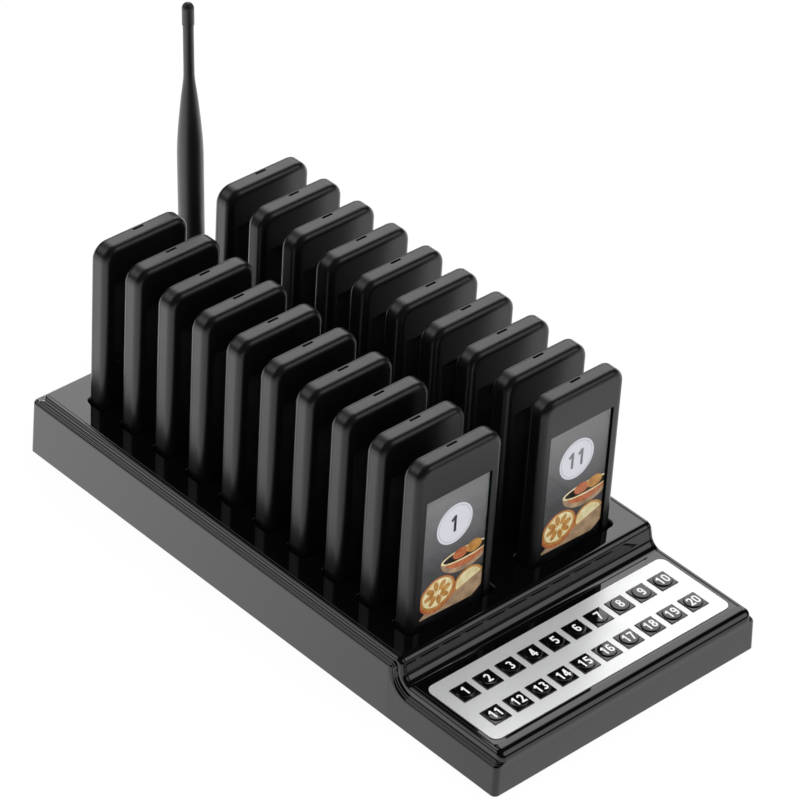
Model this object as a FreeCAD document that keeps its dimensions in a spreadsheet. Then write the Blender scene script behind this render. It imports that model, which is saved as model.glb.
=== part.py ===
import FreeCAD, Part
import os
import Sketcher
from FreeCAD import Vector

# A queue paging set for a counter: a charging base with a twenty-key pad at its front, twenty thin
# pagers standing in two rows of slots, and a folding whip antenna on a jack in the rear wall.
# Millimetres. The origin is the middle of the base on the table, +X to the right of the key rows,
# -Y towards the person at the keys, +Z up.

doc = FreeCAD.newDocument("GuestPagerSet")

# Driving dimensions
SIZES = {
    # Base housing
    "base_width": 166.2,
    "base_length": 326.8,
    "foot_gap": 0.8,
    "deck_rise": 34.1,
    "keypad_rise": 22.8,
    "rim_rise": 0.8,
    "rim_width": 3.8,
    "front_rim_width": 7.0,
    "front_rim_crest": 4.6,
    "ledge_inset": 1.5,
    "rear_ledge_inset": 5.6,
    "rear_ledge_drop": 4.3,
    "front_ledge_drop": 6.2,
    "step_depth": 64.6,
    "step_lean": 2.8,
    "skirt_step_depth": 70.0,
    "skirt_sweep_radius": 11.4,
    "skirt_crest_radius": 1.6,
    "skirt_corner_round": 4.2,
    "shoulder_round": 2.4,
    "rim_crest_radius": 3.4,
    "rim_sweep_radius": 6.0,
    "rim_corner_round": 5.0,
    "rim_round": 3.6,
    "wall": 2.2,
    "overrun": 1.0,
    "same_place": 0.05,
    "corner_bends": 2,
    "small_round_sides": 8,
    "turned_sides": 16,
    # Pager slots
    "row_spacing": 76.4,
    "pager_pitch": 24.0,
    "pagers_per_row": 10,
    "first_pager_depth": 83.9,
    "slot_depth": 18.0,
    "slot_side_play": 0.8,
    "slot_face_play": 0.7,
    "slot_corner_round": 2.0,
    "slot_flare": 1.7,
    "slot_floor": 1.6,
    "sleeve_wall": 1.5,
    "contact_window_margin": 1.0,
    # Pagers
    "pager_width": 51.8,
    "pager_thickness": 10.0,
    "pager_height": 107.8,
    "pager_top_round": 8.0,
    "pager_top_bends": 3,
    "pager_bottom_round": 5.0,
    "pager_front_round": 3.5,
    "pager_back_round": 0.8,
    "window_width": 39.8,
    "window_height": 74.4,
    "window_top_margin": 20.0,
    "window_recess": 1.2,
    "window_thickness": 0.6,
    "window_lap": 2.0,
    "window_play": 0.1,
    "card_thickness": 0.3,
    "light_slot_length": 6.3,
    "light_slot_width": 1.2,
    "light_slot_from_back": 2.65,
    "light_slot_depth": 1.0,
    "rear_cover_thickness": 2.0,
    "pager_wall": 1.6,
    "pager_board_thickness": 1.0,
    "pager_board_play": 0.3,
    "battery_width": 36.0,
    "battery_height": 50.0,
    "battery_thickness": 4.4,
    "battery_from_floor": 22.0,
    # Charging contacts, in the base and on every pager
    "contact_spacing": 16.0,
    "contact_length": 3.0,
    "contact_width": 1.6,
    "contact_rise": 1.0,
    "pad_length": 4.0,
    "pad_width": 3.8,
    "pad_height": 5.0,
    "pad_play": 0.1,
    # Keypad
    "key_pitch": 13.96,
    "key_row_spacing": 19.75,
    "keys_per_row": 10,
    "key_rows_depth": 32.475,
    "key_size": 10.3,
    "key_play": 0.3,
    "key_rise": 0.5,
    "key_dome_size": 9.4,
    "key_dome_rise": 0.7,
    "key_dome_slope": 0.5,
    "key_flange": 12.2,
    "key_flange_thickness": 1.0,
    "key_flange_gap": 0.1,
    "key_stem": 2.8,
    "key_stem_entry": 0.6,
    "overlay_width": 150.4,
    "overlay_depth": 45.8,
    "overlay_centre_depth": 32.6,
    "overlay_thickness": 0.4,
    "overlay_corner_round": 4.0,
    "overlay_corner_bends": 3,
    # Switches and circuit boards
    "switch_size": 6.0,
    "switch_height": 3.6,
    "switch_well_depth": 1.7,
    "switch_clearance": 2.6,
    "board_thickness": 1.6,
    "keypad_board_width": 140.0,
    "keypad_board_depth": 43.0,
    "charging_board_width": 140.0,
    "charging_board_clearance": 0.9,
    "charging_board_front_depth": 67.4,
    "board_rear_gap": 0.3,
    "ribbon_width": 16.0,
    "ribbon_thickness": 0.8,
    "ribbon_lap": 4.0,
    "ribbon_level": 1.5,
    # Bottom cover, screws and feet
    "cover_thickness": 2.4,
    "cover_play": 0.2,
    "cover_corner_round": 1.0,
    "boss_diameter": 7.0,
    "boss_inset": 6.6,
    "boss_front_depth": 13.4,
    "boss_middle_depth": 103.4,
    "boss_rear_depth": 13.4,
    "cover_pad_height": 2.0,
    "post_diameter": 6.0,
    "keypad_post_spacing": 134.0,
    "charging_post_front_depth": 93.4,
    "charging_post_rear_depth": 30.4,
    "rib_width": 2.0,
    "rib_spacing": 124.0,
    "rib_end_margin": 6.0,
    "screw_shank": 2.8,
    "screw_length": 8.4,
    "screw_head": 5.6,
    "screw_head_height": 1.9,
    "screw_play": 0.1,
    "screw_recess": 2.6,
    "screw_head_play": 0.4,
    "pilot_extra_depth": 0.6,
    "foot_diameter": 12.0,
    "foot_recess": 0.7,
    "foot_play": 0.2,
    "foot_inset": 17.0,
    # Power inlet
    "inlet_offset": 30.0,
    "inlet_width": 9.0,
    "inlet_height": 11.0,
    "inlet_length": 10.5,
    "inlet_axis_rise": 6.5,
    "inlet_nose": 7.6,
    "inlet_mouth": 5.7,
    "inlet_mouth_depth": 9.0,
    "inlet_pin": 2.0,
    "inlet_pin_length": 8.0,
    "inlet_play": 0.2,
    # Antenna and its jack
    "antenna_offset": 29.5,
    "antenna_axis_rise": 18.8,
    "antenna_standoff": 11.2,
    "antenna_lean": 2.77,
    "jack_block": 8.0,
    "jack_block_length": 9.7,
    "jack_barrel": 6.2,
    "jack_barrel_length": 7.8,
    "jack_hole_play": 0.3,
    "jack_nut": 8.0,
    "nut_sides": 6,
    "jack_nut_thickness": 2.2,
    "joint_play": 0.05,
    "knuckle_diameter": 12.0,
    "knuckle_gap": 0.4,
    "fork_slot_depth": 0.4,
    "ear_thickness": 2.8,
    "ear_radius": 4.5,
    "hinge_pin": 3.0,
    "tongue_radius": 4.2,
    "tongue_thickness": 6.0,
    "tongue_play": 0.2,
    "whip_length": 190.6,
    "whip_shoulder": 6.0,
    "whip_shoulder_diameter": 10.0,
    "whip_flare_end": 9.0,
    "whip_diameter": 13.0,
    "whip_straight_end": 104.0,
    "whip_taper_middle": 135.3,
    "whip_taper_middle_diameter": 8.5,
    "whip_taper_end": 149.1,
    "whip_tip_diameter": 5.4,
    "whip_cap_start": 178.1,
    "whip_cap_diameter": 6.0,
    "whip_cap_round": 2.4,
}

sheet = doc.addObject("Spreadsheet::Sheet", "Sizes")
for row, (name, number) in enumerate(SIZES.items(), start=1):
    sheet.set(f"A{row}", name)
    sheet.set(f"B{row}", str(number))
    sheet.setAlias(f"B{row}", name)
doc.recompute()

# Derived places, as formulas of the sheet. A formula names its sizes with the letter s and a dot.
FORMULAS = {
    "front": "-s.base_length / 2",
    "back": "s.base_length / 2",
    "rim_top_rear": "s.deck_rise + s.rim_rise",
    "rim_top_front": "s.keypad_rise + s.rim_rise",
    "ledge_rear": "s.deck_rise + s.rim_rise - s.rear_ledge_drop",
    "ledge_front": "s.keypad_rise + s.rim_rise - s.front_ledge_drop",
    "step_slope": "s.step_lean / (s.deck_rise - s.keypad_rise)",
    "step_foot": "-s.base_length / 2 + s.step_depth",
    "slot_bottom": "s.deck_rise - s.slot_depth",
    "pager_rest": "s.deck_rise - s.slot_depth + s.contact_rise",
    "throat_width": "s.pager_width + 2 * s.slot_side_play",
    "throat_length": "s.pager_thickness + 2 * s.slot_face_play",
    "charging_board_top": "s.deck_rise - s.slot_depth - s.slot_floor - s.charging_board_clearance",
    "switch_top": "s.keypad_rise - s.wall - s.switch_clearance",
    "cover_top": "s.foot_gap + s.cover_thickness",
    "first_pager": "-s.base_length / 2 + s.first_pager_depth",
    "key_rows_middle": "-s.base_length / 2 + s.key_rows_depth",
    "boss_x": "s.base_width / 2 - s.boss_inset",
    "rear_inside": "s.base_length / 2 - s.wall",
}


def spelled(formula):
    """The formula with every name in angle marks and every s. written out for the sheet."""
    text = formula
    while "<" in text:
        start = text.index("<")
        end = text.index(">", start)
        text = text[:start] + "(" + FORMULAS[text[start + 1:end]] + ")" + text[end + 1:]
    return text.replace("s.", "Sizes.")


def value(formula):
    return float(sheet.evalExpression(spelled(formula)))


def bind(thing, prop, formula):
    thing.setExpression(prop, spelled(formula))


# Bodies, sketches and features
def new_body(label):
    body = doc.addObject("PartDesign::Body", label)
    body.Label = label
    return body


def origin_feature(body, role):
    return next(f for f in body.Origin.OriginFeatures if f.Role == role)


def new_sketch(body, name, plane, offset="0"):
    sketch = body.newObject("Sketcher::SketchObject", body.Label + "_" + name)
    sketch.AttachmentSupport = [(origin_feature(body, plane + "_Plane"), "")]
    sketch.MapMode = "FlatFace"
    bind(sketch, "AttachmentOffset.Base.z", offset)
    return sketch


def pin_point(sketch, geometry, position, x, y):
    """Holds one point of the sketch at a pair of formulas."""
    for kind, formula in (("DistanceX", x), ("DistanceY", y)):
        datum = Sketcher.Constraint(kind, -1, 1, geometry, position, value(formula))
        index = sketch.addConstraint(datum)
        bind(sketch, f"Constraints[{index}]", formula)


def draw_outline(sketch, corners):
    points = [Vector(value(x), value(y), 0) for x, y in corners]
    first = sketch.GeometryCount
    count = len(points)
    for i in range(count):
        sketch.addGeometry(Part.LineSegment(points[i], points[(i + 1) % count]), False)
    for i, (x, y) in enumerate(corners):
        after = first + (i + 1) % count
        sketch.addConstraint(Sketcher.Constraint("Coincident", first + i, 2, after, 1))
        pin_point(sketch, first + i, 1, x, y)


def draw_rectangle(sketch, x, y, width, height):
    left, right = f"{x} - ({width}) / 2", f"{x} + ({width}) / 2"
    low, high = f"{y} - ({height}) / 2", f"{y} + ({height}) / 2"
    draw_outline(sketch, [(left, low), (right, low), (right, high), (left, high)])


def draw_circle(sketch, x, y, diameter):
    centre = Vector(value(x), value(y), 0)
    circle = Part.Circle(centre, Vector(0, 0, 1), value(diameter) / 2)
    geometry = sketch.addGeometry(circle, False)
    pin_point(sketch, geometry, 3, x, y)
    index = sketch.addConstraint(Sketcher.Constraint("Diameter", geometry, value(diameter)))
    bind(sketch, f"Constraints[{index}]", diameter)


def draw_bent_rectangle(sketch, x, y, width, height, low, high=None):
    """A rectangle whose roundings are short flats that touch the round from outside. The low and the
    high pair of corners each have a radius and a count of bends."""
    corners = []
    for quadrant, (right, up) in enumerate(((1, 1), (-1, 1), (-1, -1), (1, -1))):
        radius, count = high if high and up > 0 else low
        bends = int(value(count))
        for i in range(bends):
            angle = f"({quadrant} + ({i} + 1 / 2) / {bends}) * 90"
            reach = f"({radius}) / cos(45 / {bends})"
            corners.append((f"{x} + {right} * (({width}) / 2 - ({radius})) + {reach} * cos({angle})",
                            f"{y} + {up} * (({height}) / 2 - ({radius})) + {reach} * sin({angle})"))
    draw_outline(sketch, corners)


def draw_polygon(sketch, x, y, width, sides):
    """A regular polygon, its width measured across the flats."""
    count = int(value(sides))
    reach = f"({width}) / 2 / cos(180 / {count})"
    angles = [f"({i} + 1 / 2) * 360 / {count}" for i in range(count)]
    draw_outline(sketch, [(f"{x} + {reach} * cos({a})", f"{y} + {reach} * sin({a})") for a in angles])


def draw_small_round(sketch, x, y, width):
    draw_polygon(sketch, x, y, width, "s.small_round_sides")


def draw_turned(sketch, x, y, width):
    draw_polygon(sketch, x, y, width, "s.turned_sides")


def flat_of(radius):
    """The size of the bevel that touches the middle of a rounding."""
    return f"({radius}) * (2 - sqrt(2))"


def pad(body, sketch, length, both_ways=False, reverse=False):
    feature = body.newObject("PartDesign::Pad", sketch.Label + "_pad")
    feature.Profile = sketch
    feature.SideType = "Symmetric" if both_ways else "One side"
    feature.Reversed = reverse
    bind(feature, "Length", length)
    doc.recompute()
    return feature


def pocket(body, sketch, length, both_ways=False, reverse=False):
    before = body.Shape.Volume
    feature = body.newObject("PartDesign::Pocket", sketch.Label + "_pocket")
    feature.Profile = sketch
    feature.SideType = "Symmetric" if both_ways else "One side"
    feature.Reversed = reverse
    bind(feature, "Length", length)
    doc.recompute()
    if body.Shape.Volume >= before:
        raise RuntimeError(feature.Label + " cuts nothing")
    return feature


def pad_sloping(body, sketch, length, outward):
    """A pad whose far end is wider all round by the given amount, or narrower where it is negative."""
    feature = pad(body, sketch, length)
    bind(feature, "TaperAngle", f"atan(({outward}) / ({length}))")
    doc.recompute()
    return feature


def repeat(body, originals, axis, length, count, second=None):
    """Copies features along one of the body's axes, and along a second one where it is given."""
    feature = body.newObject("PartDesign::LinearPattern", originals[0].Label + "_row")
    feature.Originals = originals
    feature.Direction = (origin_feature(body, axis + "_Axis"), [""])
    bind(feature, "Length", length)
    bind(feature, "Occurrences", count)
    if second:
        feature.Direction2 = (origin_feature(body, second[0] + "_Axis"), [""])
        bind(feature, "Length2", second[1])
        bind(feature, "Occurrences2", second[2])
    body.Tip = feature
    doc.recompute()
    return feature


def edges_where(shape, wanted):
    return [f"Edge{i}" for i, edge in enumerate(shape.Edges, start=1) if wanted(edge)]


def near(first, second):
    return abs(first - second) < value("s.same_place")


def runs_along(edge, axis):
    """True for a straight edge along X, Y or Z."""
    box = edge.BoundBox
    across = {"x": (box.YLength, box.ZLength), "y": (box.XLength, box.ZLength),
              "z": (box.XLength, box.YLength)}
    return edge.Curve.TypeId == "Part::GeomLine" and all(near(length, 0) for length in across[axis])


def border_of(shape, chosen):
    """The edges that just one of the chosen faces has: the loop round them all."""
    faces = [face for face in shape.Faces if chosen(face)]
    names = []
    for i, edge in enumerate(shape.Edges, start=1):
        owners = [face for face in faces if any(edge.isSame(other) for other in face.Edges)]
        if len(owners) == 1:
            names.append(f"Edge{i}")
    return names


def round_edges(body, kind, name, wanted, size):
    """A fillet or chamfer on the named edges, or on those for which a test is true."""
    names = edges_where(body.Shape, wanted) if callable(wanted) else wanted
    if not names:
        raise RuntimeError(name + " finds no edge")
    before = body.Tip
    feature = body.newObject("PartDesign::" + kind, body.Label + "_" + name)
    feature.Base = (before, names)
    bind(feature, "Radius" if kind == "Fillet" else "Size", size)
    doc.recompute()
    return feature


def crease(body, name, y, z, size):
    """Rounds the edges along X that lie at one place of the side view."""
    def at_corner(edge):
        middle = edge.BoundBox.Center
        return runs_along(edge, "x") and near(middle.y, value(y)) and near(middle.z, value(z))
    return round_edges(body, "Fillet", name, at_corner, size)


def place(thing, x, y, z):
    for axis, formula in (("x", x), ("y", y), ("z", z)):
        bind(thing, "Placement.Base." + axis, formula)


# Top housing: a skirt with a swept step in its side walls, and a rounded rim set in from it that
# frames the deck and the keypad floor
def slot_places():
    """The two rows' first slot, as pairs of formulas."""
    return [("-s.row_spacing / 2", "<first_pager>"), ("s.row_spacing / 2", "<first_pager>")]


def side_step(front_inset, back_inset, foot, crest, top, low):
    """A side view of the base: low at the front, high at the back, with a leaning step."""
    return [
        (f"<front> + {front_inset}", low),
        (f"<back> - ({back_inset})", low),
        (f"<back> - ({back_inset})", top),
        (crest[0], top),
        (foot[0], foot[1]),
        (f"<front> + {front_inset}", foot[1]),
    ]


def top_housing():
    body = new_body("top_housing")
    skirt_step = "<front> + s.skirt_step_depth"
    skirt = new_sketch(body, "skirt_side", "YZ")
    draw_outline(skirt, side_step("0", "0", (skirt_step, "<ledge_front>"), (skirt_step,),
                                  "<ledge_rear>", "s.foot_gap"))
    pad(body, skirt, "s.base_width", both_ways=True)
    crease(body, "skirt_sweep", skirt_step, "<ledge_front>", "s.skirt_sweep_radius")
    crease(body, "skirt_crest", skirt_step, "<ledge_rear>", "s.skirt_crest_radius")
    round_edges(body, "Chamfer", "skirt_corners", lambda edge: runs_along(edge, "z")
                and near(abs(edge.BoundBox.Center.y), value("<back>")), flat_of("s.skirt_corner_round"))

    full_width = "s.base_width"

    def on_top(face):
        box = face.BoundBox
        return near(box.XLength, value(full_width)) and box.ZMin > value("<ledge_front> - s.overrun")
    round_edges(body, "Chamfer", "skirt_shoulder", border_of(body.Shape, on_top),
                flat_of("s.shoulder_round"))

    # The rim stands on the skirt's ledge and steps down in front of the deck. At the front it is flush
    # with the skirt, and behind the deck the ledge is wider.
    step_crest = "<step_foot> + s.step_lean"
    rim = new_sketch(body, "rim_plan", "XY", "s.foot_gap")
    draw_bent_rectangle(rim, "0", "-s.rear_ledge_inset / 2", "s.base_width - 2 * s.ledge_inset",
                        "s.base_length - s.rear_ledge_inset", ("s.rim_corner_round", "s.corner_bends"))
    pad(body, rim, "<rim_top_rear> - s.foot_gap")
    before_step = new_sketch(body, "step_side", "YZ")
    draw_outline(before_step, [
        ("<front> - s.overrun", "<rim_top_front>"),
        ("<step_foot>", "<rim_top_front>"),
        (step_crest, "<rim_top_rear>"),
        (step_crest, "<rim_top_rear> + s.overrun"),
        ("<front> - s.overrun", "<rim_top_rear> + s.overrun"),
    ])
    pocket(body, before_step, "s.base_width", both_ways=True)
    crease(body, "rim_sweep", "<step_foot>", "<rim_top_front>", "s.rim_sweep_radius")
    crease(body, "rim_crest", step_crest, "<rim_top_rear>", "s.rim_crest_radius")
    full_width = "s.base_width - 2 * s.ledge_inset"
    round_edges(body, "Chamfer", "rim_round", border_of(body.Shape, on_top), flat_of("s.rim_round"))

    # The deck and the keypad floor lie a little lower inside the rim, which slopes down to the floor at
    # the front. The deck runs out level at the back.
    inner = "s.ledge_inset + s.rim_width"
    shift = "s.rim_rise * (sqrt(1 + (<step_slope>) ^ 2) - <step_slope>)"
    foot, crest = f"<step_foot> + {shift}", f"{step_crest} + {shift}"
    recess = new_sketch(body, "deck_side", "YZ")
    draw_outline(recess, [
        ("<front> + s.front_rim_width", "s.keypad_rise"),
        (foot, "s.keypad_rise"),
        (crest, "s.deck_rise"),
        ("<back>", "s.deck_rise"),
        ("<back>", "<rim_top_rear> + s.overrun"),
        ("<front> + s.front_rim_crest", "<rim_top_rear> + s.overrun"),
        ("<front> + s.front_rim_crest", "<rim_top_front>"),
    ])
    pocket(body, recess, f"s.base_width - 2 * ({inner})", both_ways=True)
    crease(body, "deck_sweep", foot, "s.keypad_rise", "s.rim_sweep_radius + s.rim_rise")
    crease(body, "deck_crest", crest, "s.deck_rise", "s.rim_crest_radius - s.rim_rise")

    # Hollow below: one cut inside the skirt and a narrower one up to the underside of the deck
    under = "s.foot_gap - s.overrun"
    wide = new_sketch(body, "skirt_hollow", "YZ")
    draw_outline(wide, side_step("s.wall", "s.wall", (f"{skirt_step} + s.wall", "<ledge_front> - s.wall"),
                                 (f"{skirt_step} + s.wall",), "<ledge_rear> - s.wall", under))
    pocket(body, wide, "s.base_width - 2 * s.wall", both_ways=True)
    behind = f"{shift} + s.wall * (sqrt(1 + (<step_slope>) ^ 2) - <step_slope>)"
    narrow = new_sketch(body, "rim_hollow", "YZ")
    draw_outline(narrow, side_step("s.wall", "s.rear_ledge_inset + s.wall",
                                   (f"<step_foot> + {behind}", "s.keypad_rise - s.wall"),
                                   (f"{step_crest} + {behind}",), "s.deck_rise - s.wall", under))
    pocket(body, narrow, "s.base_width - 2 * (s.ledge_inset + s.wall)", both_ways=True)

    # A walled sleeve with a floor below every slot
    run = "s.pager_pitch * (s.pagers_per_row - 1)"
    sleeves = new_sketch(body, "sleeves", "XY", "<slot_bottom> - s.slot_floor")
    for x, y in slot_places():
        draw_rectangle(sleeves, x, y, "<throat_width> + 2 * s.sleeve_wall",
                       "<throat_length> + 2 * s.sleeve_wall")
    sleeve = pad(body, sleeves, "s.slot_depth + s.slot_floor - s.wall / 2")
    repeat(body, [sleeve], "Y", run, "s.pagers_per_row")
    throats = new_sketch(body, "throats", "XY", "s.deck_rise")
    for x, y in slot_places():
        draw_bent_rectangle(throats, x, y, "<throat_width>", "<throat_length>",
                            ("s.slot_corner_round", "s.corner_bends"))
    throat = pocket(body, throats, "s.slot_depth")
    repeat(body, [throat], "Y", run, "s.pagers_per_row")
    windows = new_sketch(body, "contact_windows", "XY", "<slot_bottom> + s.overrun")
    for x, y in slot_places():
        draw_rectangle(windows, x, y, "s.contact_spacing + s.contact_length + 2 * s.contact_window_margin",
                       "s.contact_width + 2 * s.contact_window_margin")
    window = pocket(body, windows, "s.slot_floor + 2 * s.overrun")
    repeat(body, [window], "Y", run, "s.pagers_per_row")

    def slot_mouth(edge):
        box = edge.BoundBox
        flat = near(box.ZMin, value("s.deck_rise")) and near(box.ZMax, value("s.deck_rise"))
        inside = abs(box.Center.x) < value("s.row_spacing / 2 + <throat_width> / 2 + s.overrun")
        small = box.XLength <= value("<throat_width>") and box.YLength < value("<throat_width>")
        behind_crest = box.Center.y > value(crest + " + s.rim_crest_radius + s.overrun")
        return flat and inside and small and behind_crest
    round_edges(body, "Chamfer", "slot_flare", slot_mouth, "s.slot_flare")

    # Square holes for the keys
    keys = new_sketch(body, "key_holes", "XY", "s.keypad_rise + s.overrun")
    for side in ("-", "+"):
        draw_rectangle(keys, "-s.key_pitch * (s.keys_per_row - 1) / 2",
                       f"<key_rows_middle> {side} s.key_row_spacing / 2",
                       "s.key_size + 2 * s.key_play", "s.key_size + 2 * s.key_play")
    hole = pocket(body, keys, "s.wall + 2 * s.overrun")
    repeat(body, [hole], "X", "s.key_pitch * (s.keys_per_row - 1)", "s.keys_per_row")

    # Screw bosses, blind from below
    boss_foot = "<cover_top> + s.cover_pad_height"
    tall = new_sketch(body, "tall_bosses", "XY", boss_foot)
    short = new_sketch(body, "short_bosses", "XY", boss_foot)
    pilots = new_sketch(body, "pilot_holes", "XY", boss_foot)
    for x, y in boss_places():
        front_one = y == boss_places()[0][1]
        draw_small_round(short if front_one else tall, x, y, "s.boss_diameter")
        draw_small_round(pilots, x, y, "s.screw_shank + 2 * s.screw_play")
    pad(body, tall, f"s.deck_rise - s.wall / 2 - ({boss_foot})")
    pad(body, short, f"s.keypad_rise - s.wall / 2 - ({boss_foot})")
    pocket(body, pilots, "s.screw_length + s.screw_recess + s.pilot_extra_depth - s.cover_thickness - "
           "s.cover_pad_height", reverse=True)

    # Rear wall holes for the antenna jack and the power inlet; the sketch looks along +Y
    rear = new_sketch(body, "rear_holes", "XZ", "-(<rear_inside> - s.overrun)")
    draw_circle(rear, "s.antenna_offset", "s.antenna_axis_rise", "s.jack_barrel + 2 * s.jack_hole_play")
    draw_turned(rear, "-s.inlet_offset", "<charging_board_top> + s.inlet_axis_rise",
                "s.inlet_nose + 2 * s.inlet_play")
    pocket(body, rear, "s.wall + 2 * s.overrun")
    return body


def boss_places():
    """The six case screws, front pair first."""
    depths = ("<front> + s.boss_front_depth", "<front> + s.boss_middle_depth", "<back> - s.boss_rear_depth")
    return [(side + "(<boss_x>)", y) for y in depths for side in ("-", "")]


def keypad_post_places():
    return [(f"{side}s.keypad_post_spacing / 2", "<key_rows_middle>") for side in ("-", "")]


def charging_post_places():
    return [("0", "<front> + s.charging_post_front_depth"), ("0", "<back> - s.charging_post_rear_depth")]


# Bottom cover: a flat plate inside the skirt with screw pads, posts and ribs for the two boards
def foot_places():
    x, y = "s.base_width / 2 - s.foot_inset", "s.base_length / 2 - s.foot_inset"
    return [(i + f"({x})", j + f"({y})") for i in ("-", "") for j in ("-", "")]


def keypad_board_bottom():
    return "<switch_top> - s.switch_height - s.board_thickness"


def bottom_cover():
    body = new_body("bottom_cover")
    plate = new_sketch(body, "plate", "XY", "s.foot_gap")
    draw_bent_rectangle(plate, "0", "0", "s.base_width - 2 * (s.wall + s.cover_play)",
                        "s.base_length - 2 * (s.wall + s.cover_play)",
                        ("s.cover_corner_round", "s.corner_bends"))
    pad(body, plate, "s.cover_thickness")
    pads = new_sketch(body, "screw_pads", "XY", "<cover_top>")
    for x, y in boss_places():
        draw_small_round(pads, x, y, "s.boss_diameter")
    pad(body, pads, "s.cover_pad_height")
    low = "<charging_board_top> - s.board_thickness - <cover_top>"
    high = f"{keypad_board_bottom()} - <cover_top>"
    posts = new_sketch(body, "charging_posts", "XY", "<cover_top>")
    for x, y in charging_post_places():
        draw_small_round(posts, x, y, "s.post_diameter")
    for side in ("-", ""):
        draw_rectangle(posts, f"{side}s.rib_spacing / 2",
                       "(<front> + s.charging_board_front_depth + <rear_inside>) / 2", "s.rib_width",
                       "<rear_inside> - <front> - s.charging_board_front_depth - 2 * s.rib_end_margin")
    pad(body, posts, low)
    posts = new_sketch(body, "keypad_posts", "XY", "<cover_top>")
    for x, y in keypad_post_places():
        draw_small_round(posts, x, y, "s.post_diameter")
    for side in ("-", "+"):
        draw_rectangle(posts, "0", f"<key_rows_middle> {side} (s.keypad_board_depth - s.rib_width) / 2",
                       "s.rib_spacing", "s.rib_width")
    pad(body, posts, high)
    # Screws: clearance holes and sunk heads from below, pilot holes in the posts from above
    clearance = new_sketch(body, "clearance_holes", "XY", "<cover_top> + s.cover_pad_height")
    heads = new_sketch(body, "head_recesses", "XY", "s.foot_gap")
    for x, y in boss_places():
        draw_small_round(clearance, x, y, "s.screw_shank + 2 * s.screw_head_play")
        draw_small_round(heads, x, y, "s.screw_head + 2 * s.screw_head_play")
    pocket(body, clearance, "s.cover_thickness + s.cover_pad_height + s.overrun")
    pocket(body, heads, "s.screw_recess", reverse=True)
    for name, places, top in (("charging_pilots", charging_post_places(), "<cover_top> + " + low),
                              ("keypad_pilots", keypad_post_places(), "<cover_top> + " + high)):
        pilots = new_sketch(body, name, "XY", top)
        for x, y in places:
            draw_small_round(pilots, x, y, "s.screw_shank + 2 * s.screw_play")
        pocket(body, pilots, "s.screw_length - s.board_thickness + s.pilot_extra_depth")
    feet = new_sketch(body, "foot_recesses", "XY", "s.foot_gap")
    for x, y in foot_places():
        draw_turned(feet, x, y, "s.foot_diameter + 2 * s.foot_play")
    pocket(body, feet, "s.foot_recess", reverse=True)
    return body


def rubber_feet():
    body = new_body("rubber_feet")
    discs = new_sketch(body, "discs", "XY")
    for x, y in foot_places():
        draw_turned(discs, x, y, "s.foot_diameter")
    pad(body, discs, "s.foot_gap + s.foot_recess")
    return body


def case_screws():
    """Ten identical screws: six up through the bottom cover, four down through the boards."""
    body = new_body("case_screws")
    seat = "s.foot_gap + s.screw_recess"
    groups = [("case", boss_places(), seat, True),
              ("charging", charging_post_places(), "<charging_board_top>", False),
              ("keypad", keypad_post_places(), "<switch_top> - s.switch_height", False)]
    for name, places, level, upwards in groups:
        shanks = new_sketch(body, name + "_shanks", "XY", level)
        heads = new_sketch(body, name + "_heads", "XY", level)
        for x, y in places:
            draw_small_round(shanks, x, y, "s.screw_shank")
            draw_small_round(heads, x, y, "s.screw_head")
        pad(body, shanks, "s.screw_length", reverse=not upwards)
        pad(body, heads, "s.screw_head_height", reverse=upwards)
    return body


# Circuit boards and what stands on them
def charging_board():
    body = new_body("charging_board")
    board = new_sketch(body, "outline", "XY", "<charging_board_top> - s.board_thickness")
    start = "<front> + s.charging_board_front_depth"
    draw_rectangle(board, "0", f"({start} + <rear_inside> - s.board_rear_gap) / 2", "s.charging_board_width",
                   f"<rear_inside> - s.board_rear_gap - ({start})")
    for x, y in charging_post_places():
        draw_small_round(board, x, y, "s.screw_shank + 2 * s.screw_play")
    pad(body, board, "s.board_thickness")
    return body


def charging_contacts():
    """Two fixed contact blades below every pager."""
    body = new_body("charging_contacts")
    blades = new_sketch(body, "blades", "XY", "<charging_board_top>")
    for x, y in slot_places():
        for side in ("-", "+"):
            draw_rectangle(blades, f"{x} {side} s.contact_spacing / 2", y,
                           "s.contact_length", "s.contact_width")
    blade = pad(body, blades, "<pager_rest> - <charging_board_top>")
    repeat(body, [blade], "Y", "s.pager_pitch * (s.pagers_per_row - 1)", "s.pagers_per_row")
    return body


def keypad_board():
    body = new_body("keypad_board")
    board = new_sketch(body, "outline", "XY", keypad_board_bottom())
    draw_rectangle(board, "0", "<key_rows_middle>", "s.keypad_board_width", "s.keypad_board_depth")
    for x, y in keypad_post_places():
        draw_small_round(board, x, y, "s.screw_shank + 2 * s.screw_play")
    pad(body, board, "s.board_thickness")
    return body


def first_keys():
    """The leftmost key of each row."""
    x = "-s.key_pitch * (s.keys_per_row - 1) / 2"
    return [(x, f"<key_rows_middle> {side} s.key_row_spacing / 2") for side in ("+", "-")]


def key_switches():
    """A tactile switch below every key, with a well that the key's stem enters."""
    body = new_body("key_switches")
    cases = new_sketch(body, "cases", "XY", "<switch_top> - s.switch_height")
    wells = new_sketch(body, "wells", "XY", "<switch_top>")
    for x, y in first_keys():
        draw_rectangle(cases, x, y, "s.switch_size", "s.switch_size")
        draw_rectangle(wells, x, y, "s.key_stem + 2 * s.key_play", "s.key_stem + 2 * s.key_play")
    case = pad(body, cases, "s.switch_height")
    well = pocket(body, wells, "s.switch_well_depth")
    repeat(body, [case, well], "X", "s.key_pitch * (s.keys_per_row - 1)", "s.keys_per_row")
    return body


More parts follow.
